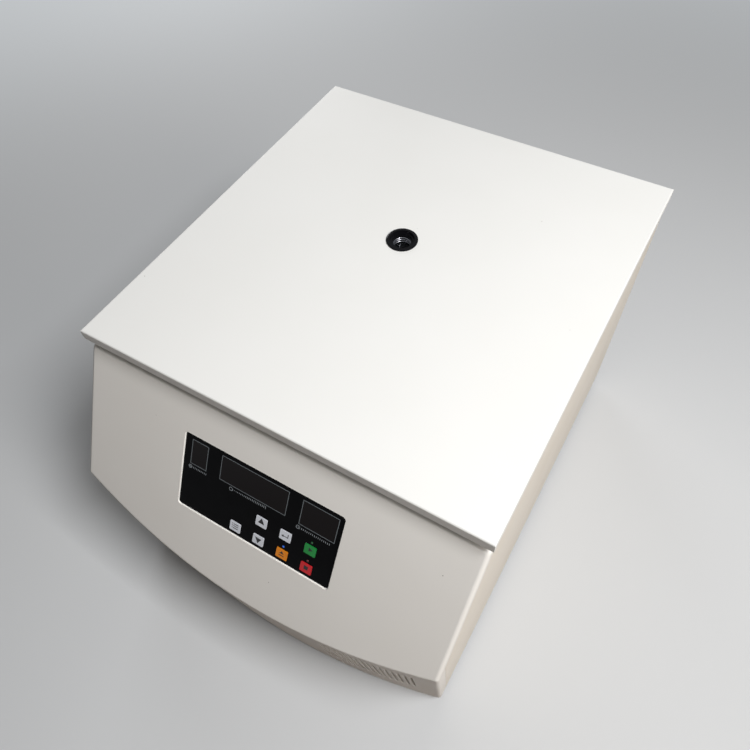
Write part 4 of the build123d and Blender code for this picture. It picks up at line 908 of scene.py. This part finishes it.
# %% [markdown]
# ## Pressed hoods over the rear louvres
# Each slot in the rear panel has a hood pressed outwards, so that air gets out and drips don't
# get in. One hood is a quarter of a long capsule: half a circle swung through a right angle,
# stretched sideways, copied to every slot, and given the sheet's thickness by a Solidify
# modifier. A sphere cut by two planes has the same form, but the cuts leave slivers.

# %% Louvre hoods
REAR_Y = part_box("rear_panel")[1].y
LOUVRE_X = (-100, 0, 100)
LOUVRE_FIRST_Z = 184.0
LOUVRE_PITCH = 11.0
LOUVRE_COUNT = 8
HOOD_L = 74.0
HOOD_H = 7.0
HOOD_OUT = 3.2
HOOD_DROP = 1.5                             # slot's middle to half the hood's height
HOOD_SUNK = 0.1                             # in the rear panel's face
HOOD_T = 0.8
ARC_STEPS = 32


def quarter_ball():
    """A mesh of a unit ball's quarter: half a circle over X, swung from +Z to +Y."""
    shape = bmesh.new()
    angles = [math.pi * i / ARC_STEPS for i in range(ARC_STEPS + 1)]
    arc = [shape.verts.new((-math.cos(a), 0, math.sin(a))) for a in angles]
    arc += [shape.edges.new(pair) for pair in zip(arc, arc[1:])]
    bmesh.ops.spin(
        shape, geom=arc, cent=(0, 0, 0), axis=(1, 0, 0), angle=-math.pi / 2, steps=ARC_STEPS // 4,
    )
    bmesh.ops.remove_doubles(shape, verts=shape.verts, dist=1e-4)
    return as_mesh("quarter_ball", shape)


HOOD_FORM = quarter_ball()


def hood(shape, x_mm, z_mm):
    low = z_mm - HOOD_H / 2 + HOOD_DROP
    place = Matrix.Translation((x_mm * MM, REAR_Y - HOOD_SUNK * MM, low * MM))
    size = Matrix.Diagonal((HOOD_L / 2 * MM, HOOD_OUT * MM, HOOD_H * MM, 1))
    first = len(shape.verts)
    shape.from_mesh(HOOD_FORM)
    shape.verts.ensure_lookup_table()
    bmesh.ops.transform(shape, matrix=place @ size, verts=shape.verts[first:])


for column, x_mm in enumerate(LOUVRE_X, 1):
    hoods = bmesh.new()
    for i in range(LOUVRE_COUNT):
        hood(hoods, x_mm, LOUVRE_FIRST_Z + i * LOUVRE_PITCH)
    thing = finish_piece(f"louvre_hoods_{column}", hoods, HOUSING_PAINT, "cabinet")
    thing.data.shade_smooth()
    wall = thing.modifiers.new("sheet", "SOLIDIFY")
    wall.thickness = HOOD_T * MM
bpy.data.meshes.remove(HOOD_FORM)

# %% [markdown]
# ## Contact blades
# The power inlet's three contacts are nickel-plated brass blades, while the CAD socket is one
# plastic solid. A thin metal sleeve over each moulded blade, with a bevelled tip, gives them
# their real surface.

# %% Contact blades
SOCKET_LOW, SOCKET_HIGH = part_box("inlet_socket")
SOCKET_X = (SOCKET_LOW.x + SOCKET_HIGH.x) / 2
SOCKET_Z = (SOCKET_LOW.z + SOCKET_HIGH.z) / 2
BLADES = ((-7, -2), (7, -2), (0, 2))        # across and up, millimetres
BLADE_W = 2.1
BLADE_L = 12.6
BLADE_H = 4.1
BLADE_SUNK = 4.7                            # tip to the rear panel's face
TIP_BEVEL = 0.5

blades = bmesh.new()
for across, up in BLADES:
    deep = REAR_Y - (BLADE_SUNK + BLADE_L / 2) * MM
    middle = Vector((SOCKET_X + across * MM, deep, SOCKET_Z + up * MM))
    made = bar(blades, BLADE_W * MM, BLADE_L * MM, BLADE_H * MM, Matrix.Translation(middle))
    tip = [e for e in blades.edges if all(v in made and v.co.y > deep for v in e.verts)]
    bmesh.ops.bevel(
        blades, geom=tip, offset=TIP_BEVEL * MM, segments=2, profile=0.5, affect="EDGES", material=-1,
    )
finish_piece("contact_blades", blades, NICKEL, "cabinet")

# %% [markdown]
# ## Marks on the switch
# The rocker carries the two signs that any mains switch has, a line for on and a ring for off,
# printed on its two slanted faces. At rest it is tipped to one side, and the marks with it.

# %% Switch marks
PIVOT_IN = 4                                # rear panel's face to the pivot
PIVOT_Z = 122
ROCKER_PIVOT = Vector((SOCKET_X, REAR_Y - PIVOT_IN * MM, PIVOT_Z * MM))
ROCKER_TILT = math.radians(-10)
FACE_SLANT = math.atan2(3.0, 11.0)
FACE_OUT = 4.2                              # pivot to the valley between the two faces
MARK_ALONG = 6.0                            # valley to the middle of a mark


def rocker_place(side):
    """On one face of the rocker: x across it, y along it and z out of it."""
    tipped = Matrix.Translation(ROCKER_PIVOT) @ Matrix.Rotation(ROCKER_TILT, 4, "X")
    valley = tipped @ Matrix.Translation((0, FACE_OUT * MM, 0))
    facing = valley @ Matrix.Rotation(-math.pi / 2 - side * FACE_SLANT, 4, "X")
    return facing @ Matrix.Translation((0, -side * MARK_ALONG * MM, 0))


WHITE_INK = printing_ink("white_ink", "#E8E8E4", "#D4D4CE")
marks = bmesh.new()
line(marks, 0, 0, 0.9, 3.6, rocker_place(1))
ring(marks, 1.6, 0.7, rocker_place(-1))
finish_piece("switch_marks", marks, WHITE_INK, "power_rocker")

# %% [markdown]
# ## Floor, backdrop and light
# A plain pale floor shows the machine's shadow and fades into an equally pale surround, as a
# studio's paper sweep does. A Light Path switch shows both to the eye, to metal and to glass,
# while the light that they send back to the machine is a warmer, quieter grey, as from a bench.
# In the photograph the lid is brightest and grows lighter to the right, the right side comes
# next, and the front stands in half shade. That needs one strong lamp above on the right, quite
# near, and little light from elsewhere.

# %% Stage
FLOOR_SIZE = 8.0                            # metres, as all sizes in this cell are
FLOOR_DROP = 0.0002                         # the feet's faces to the floor
SURROUND = "#C4C8CB"
FLOOR_SEEN = "#D2D4D6"
FLOOR_BOUNCE = "#85776A"
FADE_FROM = 0.8                             # from the machine's middle
FADE_TO = 2.2

floor_shape = bmesh.new()
bmesh.ops.create_grid(floor_shape, x_segments=1, y_segments=1, size=FLOOR_SIZE / 2)
floor = bpy.data.objects.new("floor", as_mesh("floor", floor_shape))
floor.location.z = -FLOOR_DROP
bpy.context.scene.collection.objects.link(floor)


def seen_rays(tree):
    """One for what the eye sees, directly or in metal and glass, and zero for scattered light."""
    rays = add(tree, "ShaderNodeLightPath")
    seen = combine(tree, "MAXIMUM", rays.outputs["Is Camera Ray"], rays.outputs["Is Glossy Ray"])
    return combine(tree, "MAXIMUM", seen, rays.outputs["Is Transmission Ray"])


def pale_floor():
    material, tree, shader, place = start("pale_floor", "#E6E7E8", 0.9)
    shader.inputs["Specular IOR Level"].default_value = 0.0
    seen = seen_rays(tree)
    away = add(tree, "ShaderNodeVectorMath", [(0, place)], operation="LENGTH")
    far = add(tree, "ShaderNodeMapRange", [
        ("Value", away.outputs["Value"]), ("From Min", FADE_FROM), ("From Max", FADE_TO),
    ], interpolation_type="SMOOTHSTEP")
    fade = combine(tree, "MULTIPLY", seen, far.outputs["Result"])
    tint(tree, shader, fade, blend(tree, seen, FLOOR_BOUNCE, FLOOR_SEEN), "#000000")
    shader.inputs["Emission Color"].default_value = linear(SURROUND)
    tree.links.new(fade, shader.inputs["Emission Strength"])
    return material


floor.data.materials.append(pale_floor())
print("floor", FLOOR_SIZE, "m wide, fades out from", FADE_FROM, "to", FADE_TO, "m")

# %% [markdown]
# ## Lamps
# The key lamp hangs above on the right. A weaker lamp further right lights the folded edge, one
# behind on the left lets the back be seen, and a faint world fills the shadows. Each lamp is a
# row of a table: its name, its place, the point it aims at, its width, its watts and its colour.

# %% World and lamps
WORLD_FILL = 0.07
WORLD_TINT = "#F2F4F6"
STUDIO = (
    ("key_lamp", (0.93, -0.2, 1.78), (0, 0, 0.35), 0.6, 27.5, "#FFFFFF"),
    ("side_lamp", (1.45, -0.4, 1.3), (0.1, -0.1, 0.2), 0.7, 9.0, "#FFF7EE"),
    ("back_lamp", (-1.5, 1.4, 0.8), (0, 0.1, 0.2), 1.0, 12, "#FFFFFF"),
)
world = bpy.data.worlds.new("studio")
bpy.context.scene.world = world
world.use_nodes = True
sky = world.node_tree
seen = seen_rays(sky)
strength = add(sky, "ShaderNodeMix", [("Factor", seen), (NUMBER_A, WORLD_FILL), (NUMBER_B, 1.0)])
background = sky.nodes["Background"].inputs
sky.links.new(blend(sky, seen, WORLD_TINT, SURROUND), background["Color"])
sky.links.new(strength.outputs[NUMBER_OUT], background["Strength"])


def soft_lamp(name, place, aim, size, watts, colour):
    lamp = bpy.data.lights.new(name, "AREA")
    lamp.size = size
    lamp.energy = watts
    lamp.color = linear(colour)[:3]
    thing = bpy.data.objects.new(name, lamp)
    thing.location = place
    direction = Vector(aim) - Vector(place)
    thing.rotation_euler = direction.to_track_quat("-Z", "Y").to_euler()
    bpy.context.scene.collection.objects.link(thing)


for row in STUDIO:
    soft_lamp(*row)
